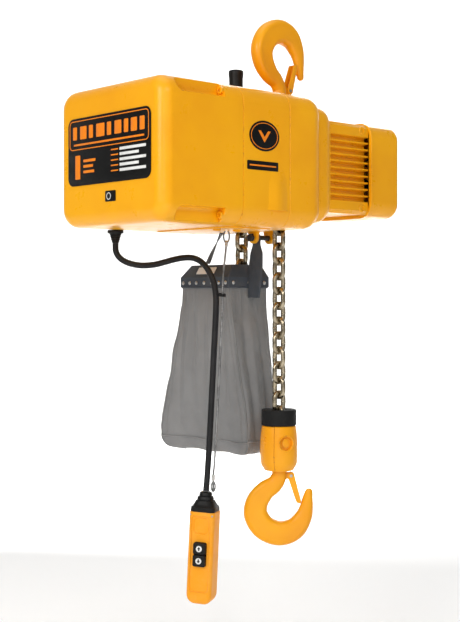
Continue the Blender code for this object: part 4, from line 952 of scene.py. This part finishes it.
# ---------------------------------------------------------------- hooks
def hook_frame(saddle_z, turn, upright):
    flip = Matrix.Identity(4) if upright else Matrix.Rotation(math.pi, 4, "X")
    return Matrix.Translation((0, 0, saddle_z)) @ Matrix.Rotation(turn, 4, "Z") @ flip


def hook_bm(frame, sides=40):
    """A forged hook: round at the shank, flat-sided with a raised rim round its bend."""
    path = through([(u, w, half) for u, w, half in HOOK_PATH], 7)
    stations = [(0.0, SHANK_END, SHANK_RADIUS, 1.0, 0.0), (0.0, 0.0915, SHANK_RADIUS, 1.0, 0.0),
                (0.0, 0.0880, SHANK_RADIUS + 0.0006, 1.0, 0.0),
                (0.0, 0.0840, 0.0100, 0.95, 0.0)]
    last = len(path) - 1
    for index, (u, w, half) in enumerate(path):
        share = index / last
        flat = 0.68 + 0.20 * max(0.0, 1 - share / 0.14) + 0.14 * max(0.0, (share - 0.86) / 0.14)
        web = min(1.0, max(0.0, (share - 0.16) / 0.12)) * min(1.0, max(0.0, (0.80 - share) / 0.16))
        stations.append((u, w, half, flat, web))
    tip_u, tip_w, tip_half = path[-1]
    before = path[-2]
    along = Vector((tip_u - before[0], 0, tip_w - before[1])).normalized()
    for out, size in ((0.0022, 0.93), (0.0040, 0.74), (0.0052, 0.42), (0.0056, 0.12)):
        stations.append((tip_u + along.x * out, tip_w + along.z * out, tip_half * size, 0.82, 0.0))
    rings = []
    for index, (u, w, half, flat, web) in enumerate(stations):
        before, after = stations[max(index - 1, 0)], stations[min(index + 1, len(stations) - 1)]
        along = Vector((after[0] - before[0], 0, after[1] - before[1])).normalized()
        across = Vector((along.z, 0, -along.x))
        power = 1.0 - 0.22 * web
        ring = []
        for side in range(sides):
            turn = math.tau * side / sides
            c, s = math.cos(turn), math.sin(turn)
            a = math.copysign(abs(c) ** power, c)
            b = math.copysign(abs(s) ** power, s)
            dip = 1 - 0.20 * web * (1 - min(1.0, abs(a) / 0.62) ** 3)
            ring.append(frame @ (Vector((u, 0, w)) + across * a * half + Vector((0, flat * b * half * dip,
                    0))))
        rings.append(ring)
    return skin(rings)


def build_hook(prefix, body, frame):
    u, w = LATCH_PIVOT
    lug_outline = [(0.004, w - 0.0060), (u - 0.001, w - LUG_RADIUS), *arc((u, w), LUG_RADIUS, -90, 90, 12),
                   (u - 0.002, w + LUG_RADIUS), (0.004, w + 0.0066)]
    hole = arc((u, w), 0.0025, 0, 340, 18)
    side_on = frame @ Matrix.Rotation(math.pi / 2, 4, "X")
    lug = prism(prefix + "_lug", [lug_outline, hole], 2 * LUG_HALF, side_on, 0.0007)
    piece(prefix + "_hook_forging", merge(hook_bm(frame), lug), body, HOOK_YELLOW, [prefix + "_hook"],
          sharp=45)
    # the pressed latch: two cheeks and the spine that closes the throat against the tip
    spine = [(0.0246, 0.0700), (0.0346, 0.0318), (0.0338, 0.0288), (0.0322, 0.0286), (0.0328, 0.0318),
             (0.0229, 0.0694)]
    cheek = [*arc((u, w), 0.0056, 0, 200, 14), (0.0150, 0.0650), (0.0262, 0.0330), (0.0280, 0.0296),
             (0.0322, 0.0286),
             (0.0338, 0.0288), (0.0346, 0.0318)]
    parts = [prism(f"{prefix}_cheek_{side}", [cheek, arc((u, w), LATCH_PIN + 0.0002, 0, 340, 16)], 0.0014,
                   side_on @ Matrix.Translation((0, 0, side * (LATCH_HALF - 0.0007))),
                   0.0003) for side in (-1, 1)]
    parts.append(prism(prefix + "_spine", [spine], 2 * LATCH_HALF - 0.0004, side_on, 0.0004))
    piece(prefix + "_latch_plate", merge(*parts), prefix + "_latch", HOOK_YELLOW, [prefix + "_latch"],
          sharp=45)


# ---------------------------------------------------------------- load block and bumper
def build_block():
    hole = 0.0151
    outer = [(0.0255, -0.0250), (0.0266, -0.0244), (BUMPER_RADIUS, -0.0232), (BUMPER_RADIUS, -0.0018),
             (0.0268, -0.0006), (0.0258, 0), (0.0236, 0), (0.0230, -0.0010), (0.0200, -0.0010), (0.0194, 0)]
    cross = [Matrix.Rotation(BLOCK_TURN + math.radians(14), 4, "Z") @ Matrix.Rotation(turn, 4,
            "Z") for turn in (0, math.pi / 2)]
    arms = []
    for index, turn in enumerate(cross):
        arm = skin([[Vector((a, b, z)) for a,
                     b in round_rect(hole + 0.004, 0.0058, 0.0050, 5)] for z in (BUMPER_TOP - 0.05,
                             BUMPER_TOP + 0.01)])
        arm.transform(turn)
        arms.append(arm)
    body = revolve([(r, BUMPER_TOP + h) for r, h in outer], steps=56)
    cuts = [*arms, rod_bm((0, 0, BUMPER_TOP - 0.018), (0, 0, 1), hole, 0.022, 40)]
    piece("bumper_ring", baked(body, cuts), "load_block", RUBBER, ["bumper"], bevel=0.0005, segments=2)

    top = BUMPER_TOP - BUMPER_HEIGHT - GAP
    floor = BOTTOM_SADDLE + 0.0975
    barrel = through([(0.0264, top - 0.0012), (0.0278, top - 0.012), (0.0288, top - 0.026),
                      (0.0294, top - 0.040),
                      (0.0292, top - 0.050), (0.0284, BLOCK_BOTTOM + 0.0118),
                      (0.0270, BLOCK_BOTTOM + 0.0080)], 4)
    profile = [(0.0252, top), *[(p.x, p.y) for p in barrel], (0.0228, BLOCK_BOTTOM + 0.0010),
               (0.0218, BLOCK_BOTTOM + 0.0002), (0.0208, BLOCK_BOTTOM),
               (0.0094, BLOCK_BOTTOM), (0.0094, floor), (0.0165, floor), (0.0165, floor + 0.018),
               (0.006, floor + 0.018),
               (0.006, floor + 0.023), (0.0155, floor + 0.023), (0.0155, top)]
    boss_turn = math.radians(-110.4)
    out = Vector((math.cos(boss_turn), math.sin(boss_turn), 0))
    spot = Vector((0, 0, -0.6200)) + out * 0.0285
    for name, start in (("left", 0.0), ("right", 180.0)):
        half = revolve(profile, steps=36, start=math.degrees(BLOCK_TURN) + start, sweep=180)
        normal = Matrix.Rotation(BLOCK_TURN, 3, "Z") @ Vector((0, 1 if name == "left" else -1, 0))
        bmesh.ops.translate(half, vec=normal * 0.00025, verts=half.verts)
        if name == "right":
            mesh = baked(half, [rod_bm(spot + out * 0.0056, out, 0.0108, 0.0210, 48)])
        else:
            mesh = baked(half)
        piece("block_shell_" + name, mesh, "load_block", HOOK_YELLOW, ["block_" + name], bevel=0.0009,
              segments=2)
    rim = [(0.0106, -0.0040), (0.0128, -0.0040), (0.0128, 0.0002), (0.0122, 0.0010), (0.0114, 0.0010),
           (0.0106, 0.0002)]
    piece("block_rim", revolve(rim, spot - out * 0.0006, out, 48, loop=True), "load_block", HOOK_YELLOW,
          sharp=50)
    oval = [(0.0058 * math.cos(math.tau * i / 32), 0.0074 * math.sin(math.tau * i / 32)) for i in range(32)]
    turn = Matrix.Translation(spot - out * 0.0034) @ Vector((0, 0,
            1)).rotation_difference(out).to_matrix().to_4x4()
    piece("block_oval", prism("oval", [oval], 0.0020, turn, 0.0006), "load_block", HOOK_YELLOW, sharp=40)
    for index, (degrees, level, wide, tall) in enumerate(((174, -0.612, 0.0030, 0.0016),
                                                          (174, -0.618, 0.0044, 0.0016),
                                                          (176, -0.626, 0.0024, 0.0048))):
        t = math.radians(degrees)
        out_mark = Vector((math.cos(t), math.sin(t), 0))
        where = Matrix.Translation(out_mark * 0.02875 + Vector((0, 0, level))) @ Matrix.Rotation(t, 4,
                "Z") @ Matrix.Rotation(math.pi / 2, 4, "Y") @ Matrix.Rotation(math.pi / 2, 4, "Z")
        piece(f"cast_mark_{index}", prism("cast", [round_rect(wide, tall, min(wide, tall) * 0.6, 4)],
                                          0.0014, where, 0.0004), "load_block", HOOK_YELLOW, sharp=40)


build_chain()
build_hook("top", "top_hook", hook_frame(0.0, 0.0, False))
build_hook("bottom", "bottom_hook", hook_frame(BOTTOM_SADDLE, HOOK_TURN, True))
build_block()


# ---------------------------------------------------------------- bag
BAG_ROWS, BAG_COLUMNS = 84, 144


def bag_corners(share):
    """The four corners of the bag at a share of its height, from the frame's band down."""
    clear = BAG_SHEET + 2 * GAP
    upper = [(BAG_X[0] + clear, BAG_Y[0] + clear), (BAG_X[1] - clear, BAG_Y[0] + clear),
             (BAG_X[1] - clear, BAG_Y[1] - clear), (BAG_X[0] + clear, BAG_Y[1] - clear)]
    spread = min(1.0, max(0.0, (share - 0.06) / 0.82))
    spread = spread * 1.16 - 0.16 * spread * spread
    return [Vector(high).lerp(Vector(low), spread) for high, low in zip(upper, BAG_FOOT)]


def bag_point(column, share, top, bottom):
    """A point of the bag's skin; column runs round its four sides from the near corner."""
    corners = bag_corners(share)
    middle = sum(corners, Vector((0, 0))) / 4
    side, along = divmod(column / BAG_COLUMNS * 4, 1.0)
    side = int(side) % 4
    a, b = corners[side], corners[(side + 1) % 4]
    flat = a.lerp(b, along)
    ease = 0.085
    if along < ease or along > 1 - ease:
        corner = a if along < ease else b
        other = corners[side - 1] if along < ease else corners[(side + 2) % 4]
        near = 1 - (along / ease if along < ease else (1 - along) / ease)
        leg = (b - a) if along < ease else (a - b)
        in_a, in_b = corner + leg * ease, corner + (other - corner) * ease
        t = 0.5 + 0.5 * (1 - near)
        flat = in_b * (1 - t) ** 2 + corner * 2 * t * (1 - t) + in_a * t * t
    outward = (flat - middle).normalized()
    z = top + (bottom - top) * share
    fall = min(1.0, max(0.0, (share - 0.10) / 0.35))
    belly = math.sin(math.pi * min(1.0, share / 0.97)) ** 1.3
    wide_side = side in (1, 3)
    out = 0.0035 * belly * math.sin(math.pi * along)
    if not wide_side:
        for centre, reach, depth in ((0.30, 0.075, 0.0062), (0.66, 0.070, 0.0050)):
            drift = centre + 0.05 * math.sin(3.1 * share + centre * 9)
            fold = math.exp(-((along - drift) / reach) ** 2)
            out -= depth * fold * fall * (1 - 0.75 * max(0.0, share - 0.80) / 0.2)
            out += 0.4 * depth * math.exp(-((along - drift - 2.1 * reach) / reach) ** 2) * fall
    else:
        for centre, reach, depth, lean in ((0.22, 0.050, 0.0034, 0.18), (0.47, 0.06, 0.0038, -0.10),
                                           (0.74, 0.055, 0.0036, 0.12)):
            drift = centre + lean * (share - 0.3) + 0.03 * math.sin(5 * share + centre * 7)
            out += depth * math.exp(-((along - drift) / reach) ** 2) * math.sin(math.pi * min(1,
                    max(0, share * 1.15 - 0.1))) ** 0.7
    where = Vector((flat.x, flat.y, z))
    rough = noise.noise(where * 26) * 0.0026 + noise.noise(where * Vector((60, 60,
            34)).length * 0.9) * 0.0009
    slack = noise.noise(Vector((where.x * 18, where.y * 18,
                                where.z * 55))) * 0.0020 * (
            math.exp(-((share - 0.88) / 0.10) ** 2) + 0.8 * math.exp(-((share - 0.10) / 0.06) ** 2))
    out += (rough + slack) * min(1.0, share / 0.09)
    point = Vector((flat.x + outward.x * out, flat.y + outward.y * out, z))
    return point, middle


def bag_rings(top, bottom):
    """Rings of the hanging bag: straight sides, a rounded foot, then its bottom panel."""
    rings = []
    for row in range(BAG_ROWS + 1):
        share = row / BAG_ROWS
        rings.append([bag_point(column, share, top, bottom + 0.016)[0] for column in range(BAG_COLUMNS)])
    middle = sum(bag_corners(1.0), Vector((0, 0))) / 4
    last = rings[-1]
    for drop, shrink in ((0.0052, 0.012), (0.0096, 0.045), (0.0130, 0.10), (0.0150, 0.17), (0.0158, 0.27),
                                            (0.0156, 0.40), (0.0152, 0.55), (0.0150, 0.70), (0.0149, 0.84),
                                            (0.0149, 0.95)):
        ring = []
        for point in last:
            flat = Vector((point.x, point.y)).lerp(middle, shrink)
            wave = 0.0014 * noise.noise(Vector((flat.x * 30, flat.y * 30, 4.0))) * min(1, shrink * 3)
            ring.append(Vector((flat.x, flat.y, point.z - drop + wave)))
        rings.append(ring)
    return rings


def settle(mesh, held_above, cap):
    """Lets the cloth sag and crease under its own weight, at most cap from where it was sewn."""
    obj = bpy.data.objects.new("settling", mesh)
    scene = bpy.context.scene
    scene.collection.objects.link(obj)
    group = obj.vertex_groups.new(name="held")
    rest = [v.co.copy() for v in mesh.vertices]
    for vertex in mesh.vertices:
        weight = 1.0 if vertex.co.z > held_above else 0.0
        if weight:
            group.add([vertex.index], weight, "REPLACE")
    cloth = obj.modifiers.new("cloth", "CLOTH")
    cloth.settings.vertex_group_mass = "held"
    cloth.settings.quality = 6
    cloth.settings.mass = 0.25
    cloth.settings.tension_stiffness = 25
    cloth.settings.compression_stiffness = 12
    cloth.settings.shear_stiffness = 6
    cloth.settings.bending_stiffness = 1.2
    cloth.settings.use_pressure = True
    cloth.settings.uniform_pressure_force = 0.6
    cloth.settings.shrink_min = -0.02
    cloth.collision_settings.use_collision = False
    scene.frame_start, scene.frame_end = 1, 24
    for step in range(1, 25):
        scene.frame_set(step)
    moved = obj.evaluated_get(bpy.context.evaluated_depsgraph_get()).to_mesh()
    spots = []
    for before, vertex in zip(rest, moved.vertices):
        shift = vertex.co - before
        if shift.length > cap:
            shift *= cap / shift.length
        spots.append(before + shift)
    scene.frame_set(1)
    bpy.data.objects.remove(obj)
    for vertex, spot in zip(mesh.vertices, spots):
        vertex.co = spot
    return mesh


def build_bag():
    top = BAG_RIM_Z + 0.013
    rings = bag_rings(top, BAG_BOTTOM_Z)
    bm = skin(rings, (False, True))
    bmesh.ops.recalc_face_normals(bm, faces=bm.faces)
    mesh = bpy.data.meshes.new("bag")
    bm.to_mesh(mesh)
    bm.free()
    settle(mesh, BAG_RIM_Z - 0.004, 0.0045)
    columns = [[mesh.vertices[row * BAG_COLUMNS + column].co.copy() for row in range(BAG_ROWS + 7)]
               for column in (0, BAG_COLUMNS // 4, BAG_COLUMNS // 2, 3 * BAG_COLUMNS // 4)]
    hem = [mesh.vertices[(BAG_ROWS - 1) * BAG_COLUMNS + column].co.copy() for column in range(BAG_COLUMNS)]
    bag = piece("bag_cloth", mesh, "hoist", CLOTH, ["chain_bag"])
    thick = bag.modifiers.new("thickness", "SOLIDIFY")
    thick.thickness = 0.0012
    thick.offset = -1
    foot = sum(bag_corners(1.0), Vector((0, 0))) / 4
    for index, line in enumerate(columns):
        axis = Vector((foot.x, foot.y, 0))
        welt = []
        for point in evenly(through(line[::3], 3), 0.004):
            away = Vector((point.x - axis.x, point.y - axis.y, 0)).normalized()
            welt.append(point + away * 0.0006)
        piece(f"bag_piping_{index}", tube_bm(welt, 0.0015, 8), "hoist",
                            PIPING if index == 0 else CLOTH)
        for sign in (-1, 1):
            dashes = []
            seam = evenly(through([
                mesh.vertices[row * BAG_COLUMNS + (index * BAG_COLUMNS // 4 + sign * 3) % BAG_COLUMNS].co
                for row in range(2, BAG_ROWS, 3)], 3), 0.0045)
            for start, end in zip(seam[::1], seam[1::1]):
                away = Vector((start.x - axis.x, start.y - axis.y, 0)).normalized() * 0.0002
                dashes.append(tube_bm([start.lerp(end, 0.15) + away, start.lerp(end, 0.5) + away * 2.5,
                                       start.lerp(end, 0.85) + away], 0.00038, 5))
            piece(f"bag_stitch_{index}_{'ab'[sign > 0]}", merge(*dashes), "hoist", PIPING)
    ring = [p + (Vector((p.x - foot.x, p.y - foot.y, 0)).normalized() * 0.0007) for p in hem]
    piece("bag_foot_welt", tube_bm(ring, 0.0014, 8, True), "hoist", CLOTH)


def build_bag_frame():
    band = BAG_RIM_Z + 0.016
    soften(NODES["bag_frame"], 0.0010, 2, weld=True)
    level = (BAG_RIM_Z + band) / 2 - 0.001
    spots = []
    for share in (0.06, 0.20, 0.34, 0.50, 0.66, 0.80, 0.94):
        y = BAG_Y[0] + (BAG_Y[1] - BAG_Y[0]) * share
        spots += [((BAG_X[0], y, level), (-1, 0, 0)), ((BAG_X[1], y, level), (1, 0, 0))]
    for share in (0.12, 0.5, 0.88):
        x = BAG_X[0] + (BAG_X[1] - BAG_X[0]) * share
        spots += [((x, BAG_Y[0], level), (0, -1, 0)), ((x, BAG_Y[1], level), (0, 1, 0))]
    profile = [(0.0004, -0.0010), (0.0030, -0.0010), (0.0031, 0.0002), (0.0027, 0.0009), (0.0018, 0.0014),
               (0.0004, 0.0016)]
    piece("bag_rivets", merge(*[revolve(profile, where, axis, 18) for where, axis in spots]), "hoist",
          STEEL)
    corners = [(BAG_X[0], BAG_Y[0]), (BAG_X[1], BAG_Y[0]), (BAG_X[1], BAG_Y[1]), (BAG_X[0], BAG_Y[1])]
    loop = []
    for (x, y), after in zip(corners, corners[1:] + corners[:1]):
        loop += [Vector((x + (after[0] - x) * s, y + (after[1] - y) * s, BAG_RIM_Z - 0.0002))
                 for s in (0.04, 0.35, 0.65, 0.96)]
    piece("bag_rim_bead", merge(tube_bm(loop, 0.0012, 8, True)), "hoist", SLATE)
    lean = math.atan2(0.013, BAG_TOP_Z - band)
    where = (Matrix.Translation((BAG_X[0] + 0.0062 - 0.0006, 0.1215,
                                 (BAG_TOP_Z + band) / 2 + 0.0006)) @ Matrix.Rotation(lean, 4, "Y")
             @ Matrix(((0, 0, -1, 0), (-1, 0, 0, 0), (0, 1, 0, 0), (0, 0, 0, 1))))
    piece("bag_tag", prism("tag", [round_rect(0.0215, 0.0064, 0.0012, 4)], 0.0008, where, 0.0002), "hoist",
          WHITE, sharp=40)
    soften(NODES["bag_arm"], 0.0007, 2, weld=True)
    ends = (Vector((-0.0560, 0.0700, CASE_Z[0] - 0.0005)), Vector((-0.0500, 0.1120, BAG_TOP_Z + 0.0012)))
    rings = []
    for index in range(33):
        share = index / 32
        middle = ends[0].lerp(ends[1], share) + Vector((0, 0.0015, 0)) * math.sin(share * math.pi)
        turn = math.radians(20 + 60 * math.sin(share * math.pi / 2))
        wide = Vector((math.cos(turn), math.sin(turn), 0))
        thin = Vector((-math.sin(turn), math.cos(turn), 0))
        outline = [(a, b) for a, b in round_rect(0.0065, 0.0009, 0.0005, 3)]
        rings.append([middle + wide * a + thin * b for a, b in outline])
    piece("bag_webbing", skin(rings), "hoist", WEBBING, ["bag_strap"], sharp=50)


build_bag()
build_bag_frame()


# ---------------------------------------------------------------- pendant
def pendant_frame():
    return (Matrix.Translation(PENDANT) @ Matrix.Rotation(math.radians(-59), 4, "Z")
            @ Matrix.Rotation(math.radians(2.6), 4, "Y"))


def z_ring(half_x, half_y, radius, z, corner=6):
    return [Vector((a, b, z)) for a, b in round_rect(half_x, half_y, max(radius, 0.0008), corner)]


def build_pendant():
    where = pendant_frame()
    half_x, half_y = PENDANT_HALF
    top, bottom = -PENDANT_CAP - GAP, -PENDANT_LENGTH
    rings = []
    for inset, drop in ((0.0016, 0), (0.0006, 0.0003), (0, 0.0014), (0, 0.03)):
        rings.append(z_ring(half_x - inset, half_y - inset, 0.007 - inset, top - drop))
    for step in range(8):
        turn = math.radians(90 * step / 7)
        inset = 1 - math.cos(turn)
        rings.append(z_ring(half_x - 0.0120 * inset, half_y - 0.0085 * inset, 0.0068 - 0.0036 * inset,
                            bottom + 0.0150 * (1 - math.sin(turn))))
    panel_low, panel_high = bottom + 0.019, top - 0.006
    panel = skin([[Vector((a, y, (panel_low + panel_high) / 2 + b)) for a, b in
                   round_rect(0.0148 - s, (panel_high - panel_low) / 2 - s, 0.0055, 6)]
                  for y, s in ((-half_y - 0.01, -0.0010), (-half_y, -0.0010), (-half_y + 0.0008, 0),
                               (-half_y + 0.0022, 0.0004), (-half_y + 0.0026, 0.0010))])
    scoop_z = panel_high - 0.0150
    scoop = skin([[Vector((a, y, scoop_z + b)) for a, b in round_rect(0.0120 - s, 0.0125 - s, 0.0060, 6)]
                  for y, s in ((-half_y - 0.01, 0), (-half_y + 0.0030, 0), (-half_y + 0.0042, 0.0012))])
    mesh = baked(skin(rings), [panel, scoop])
    reach = 0.06
    copies = [mesh, mesh.copy()]
    key_half = (0.0098, 0.0089)
    between = sum(BUTTON_DEPTH) / 2
    windows = [skin([[Vector((a, y, -between + b)) for a,
                      b in round_rect(key_half[0] + 0.0004, key_half[1] + 0.00965, 0.0030, 4)]
                     for y in (-half_y - 0.01, -half_y + 0.009)])]
    wall = 0.0055
    def hollow():
        return skin([z_ring(half_x - wall, half_y - wall, 0.004, z) for z in (-PENDANT_LENGTH + 0.006,
                top - wall)])
    front = baked(copies[0], [hollow(), box_bm((-reach, -0.00020, -0.2), (reach, reach, 0.0)), *windows])
    back = baked(copies[1], [hollow(), box_bm((-reach, -reach, -0.2), (reach, 0.00020, 0.0))])
    piece("pendant_face", front, "hoist", PENDANT_YELLOW, ["pendant_front"], bevel=0.0005, matrix=where)
    piece("pendant_rear", back, "hoist", PENDANT_YELLOW, ["pendant_back"], bevel=0.0005, matrix=where)
    rings = []
    for z, share, radius in ((-0.0003, 0.36, 0.006), (-0.0012, 0.44, 0.0075), (-0.0050, 0.50, 0.0085),
                             (-0.0056, 0.45, 0.0075), (-0.0066, 0.45, 0.0075),
                             (-0.0072, 0.56, 0.0090), (-0.0110, 0.62, 0.0095), (-0.0116, 0.58, 0.0090),
                             (-0.0126, 0.58, 0.0090), (-0.0132, 0.68, 0.0095),
                             (-0.0180, 0.78, 0.0090), (-0.0215, 0.88, 0.0085), (-0.0225, 0.95, 0.0080),
                             (-0.0280, 0.97, 0.0075), (-PENDANT_CAP, 0.95, 0.0070)):
        rings.append(z_ring(half_x * share, half_y * share, min(radius, half_y * share - 0.0004), z))
    piece("pendant_boot", skin(rings), "hoist", BLACK, ["pendant_cap"], sharp=35, matrix=where)
    for name, depth, sign in (("up_button", BUTTON_DEPTH[0], 1), ("down_button", BUTTON_DEPTH[1], -1)):
        rings = []
        for y, inset in ((-half_y + 0.006, 0), (-half_y - 0.0024, 0), (-half_y - 0.0036, 0.0005),
                         (-half_y - 0.0042, 0.0016), (-half_y - 0.0040, 0.0040),
                         (-half_y - 0.0036, 0.0068)):
            rings.append([Vector((a, y, -depth + b)) for a,
                          b in round_rect(key_half[0] - inset, key_half[1] - inset,
                                          max(0.0026 - inset * 0.2, 0.0005), 5)])
        piece(name + "_cap", skin(rings), name, BLACK, [name], sharp=60, matrix=where)
        facing = where @ Matrix.Translation((0, -half_y - 0.0040, -depth)) @ Matrix.Rotation(math.pi / 2, 4,
                "X")
        piece(name + "_dot", prism("dot", [arc((0, 0), 0.0047, 0, 350, 36)], 0.0006, facing, 0.0001), name,
              WHITE, sharp=40)
        arrow = [(0, 0.0031 * sign), (-0.0027 * sign, -0.0001 * sign), (-0.0010 * sign, -0.0001 * sign),
                 (-0.0010 * sign, -0.0029 * sign),
                 (0.0010 * sign, -0.0029 * sign), (0.0010 * sign, -0.0001 * sign),
                 (0.0027 * sign, -0.0001 * sign)]
        piece(name + "_arrow", prism("arrow", [arrow], 0.0004, facing @ Matrix.Translation((0, 0, 0.0004)),
                                     0.00005), name, LABEL, sharp=40)
    for index, (x, z) in enumerate(((-0.0172, top - 0.0045), (0.0172, top - 0.0045))):
        profile = [(0.0002, -0.0015), (0.0013, -0.0015), (0.0013, 0.0002), (0.0010, 0.0005),
                   (0.0002, 0.0006)]
        spot = where @ Vector((x, -half_y, z))
        axis = where.to_3x3() @ Vector((0, -1, 0))
        piece(f"pendant_screw_{index}", revolve(profile, spot, axis, 20), "hoist", STEEL, sharp=40)


build_pendant()


# ---------------------------------------------------------------- CAD nodes that stay
def finish_nodes():
    finishes = {
        STEEL: ("top_hook_nut", "bottom_hook_nut", "top_latch_pin", "bottom_latch_pin", "chain_pin",
                "load_sheave", "sheave_shaft", "load_gear",
                "sheave_bearing_left", "sheave_bearing_right", "intermediate_wheel", "slow_pinion",
                "intermediate_shaft", "motor_pinion",
                "rotor_shaft", "rotor_core", "rotor_bearing", "transformer", "chain_guide"),
        COPPER: ("stator", "brake_coil"),
        BLACK: ("brake_disc", "fan", "contactor"),
        SLATE: ("bag_frame", "bag_arm", "gear_plate"),
    }
    for look, names in finishes.items():
        for name in names:
            node = NODES[name]
            node.data.materials.clear()
            node.data.materials.append(look)
    left = [n for n, o in NODES.items() if not o.hide_render and o.data.materials[0] not in finishes]
    if left:
        raise SystemExit(f"no finish for {left}")


finish_nodes()
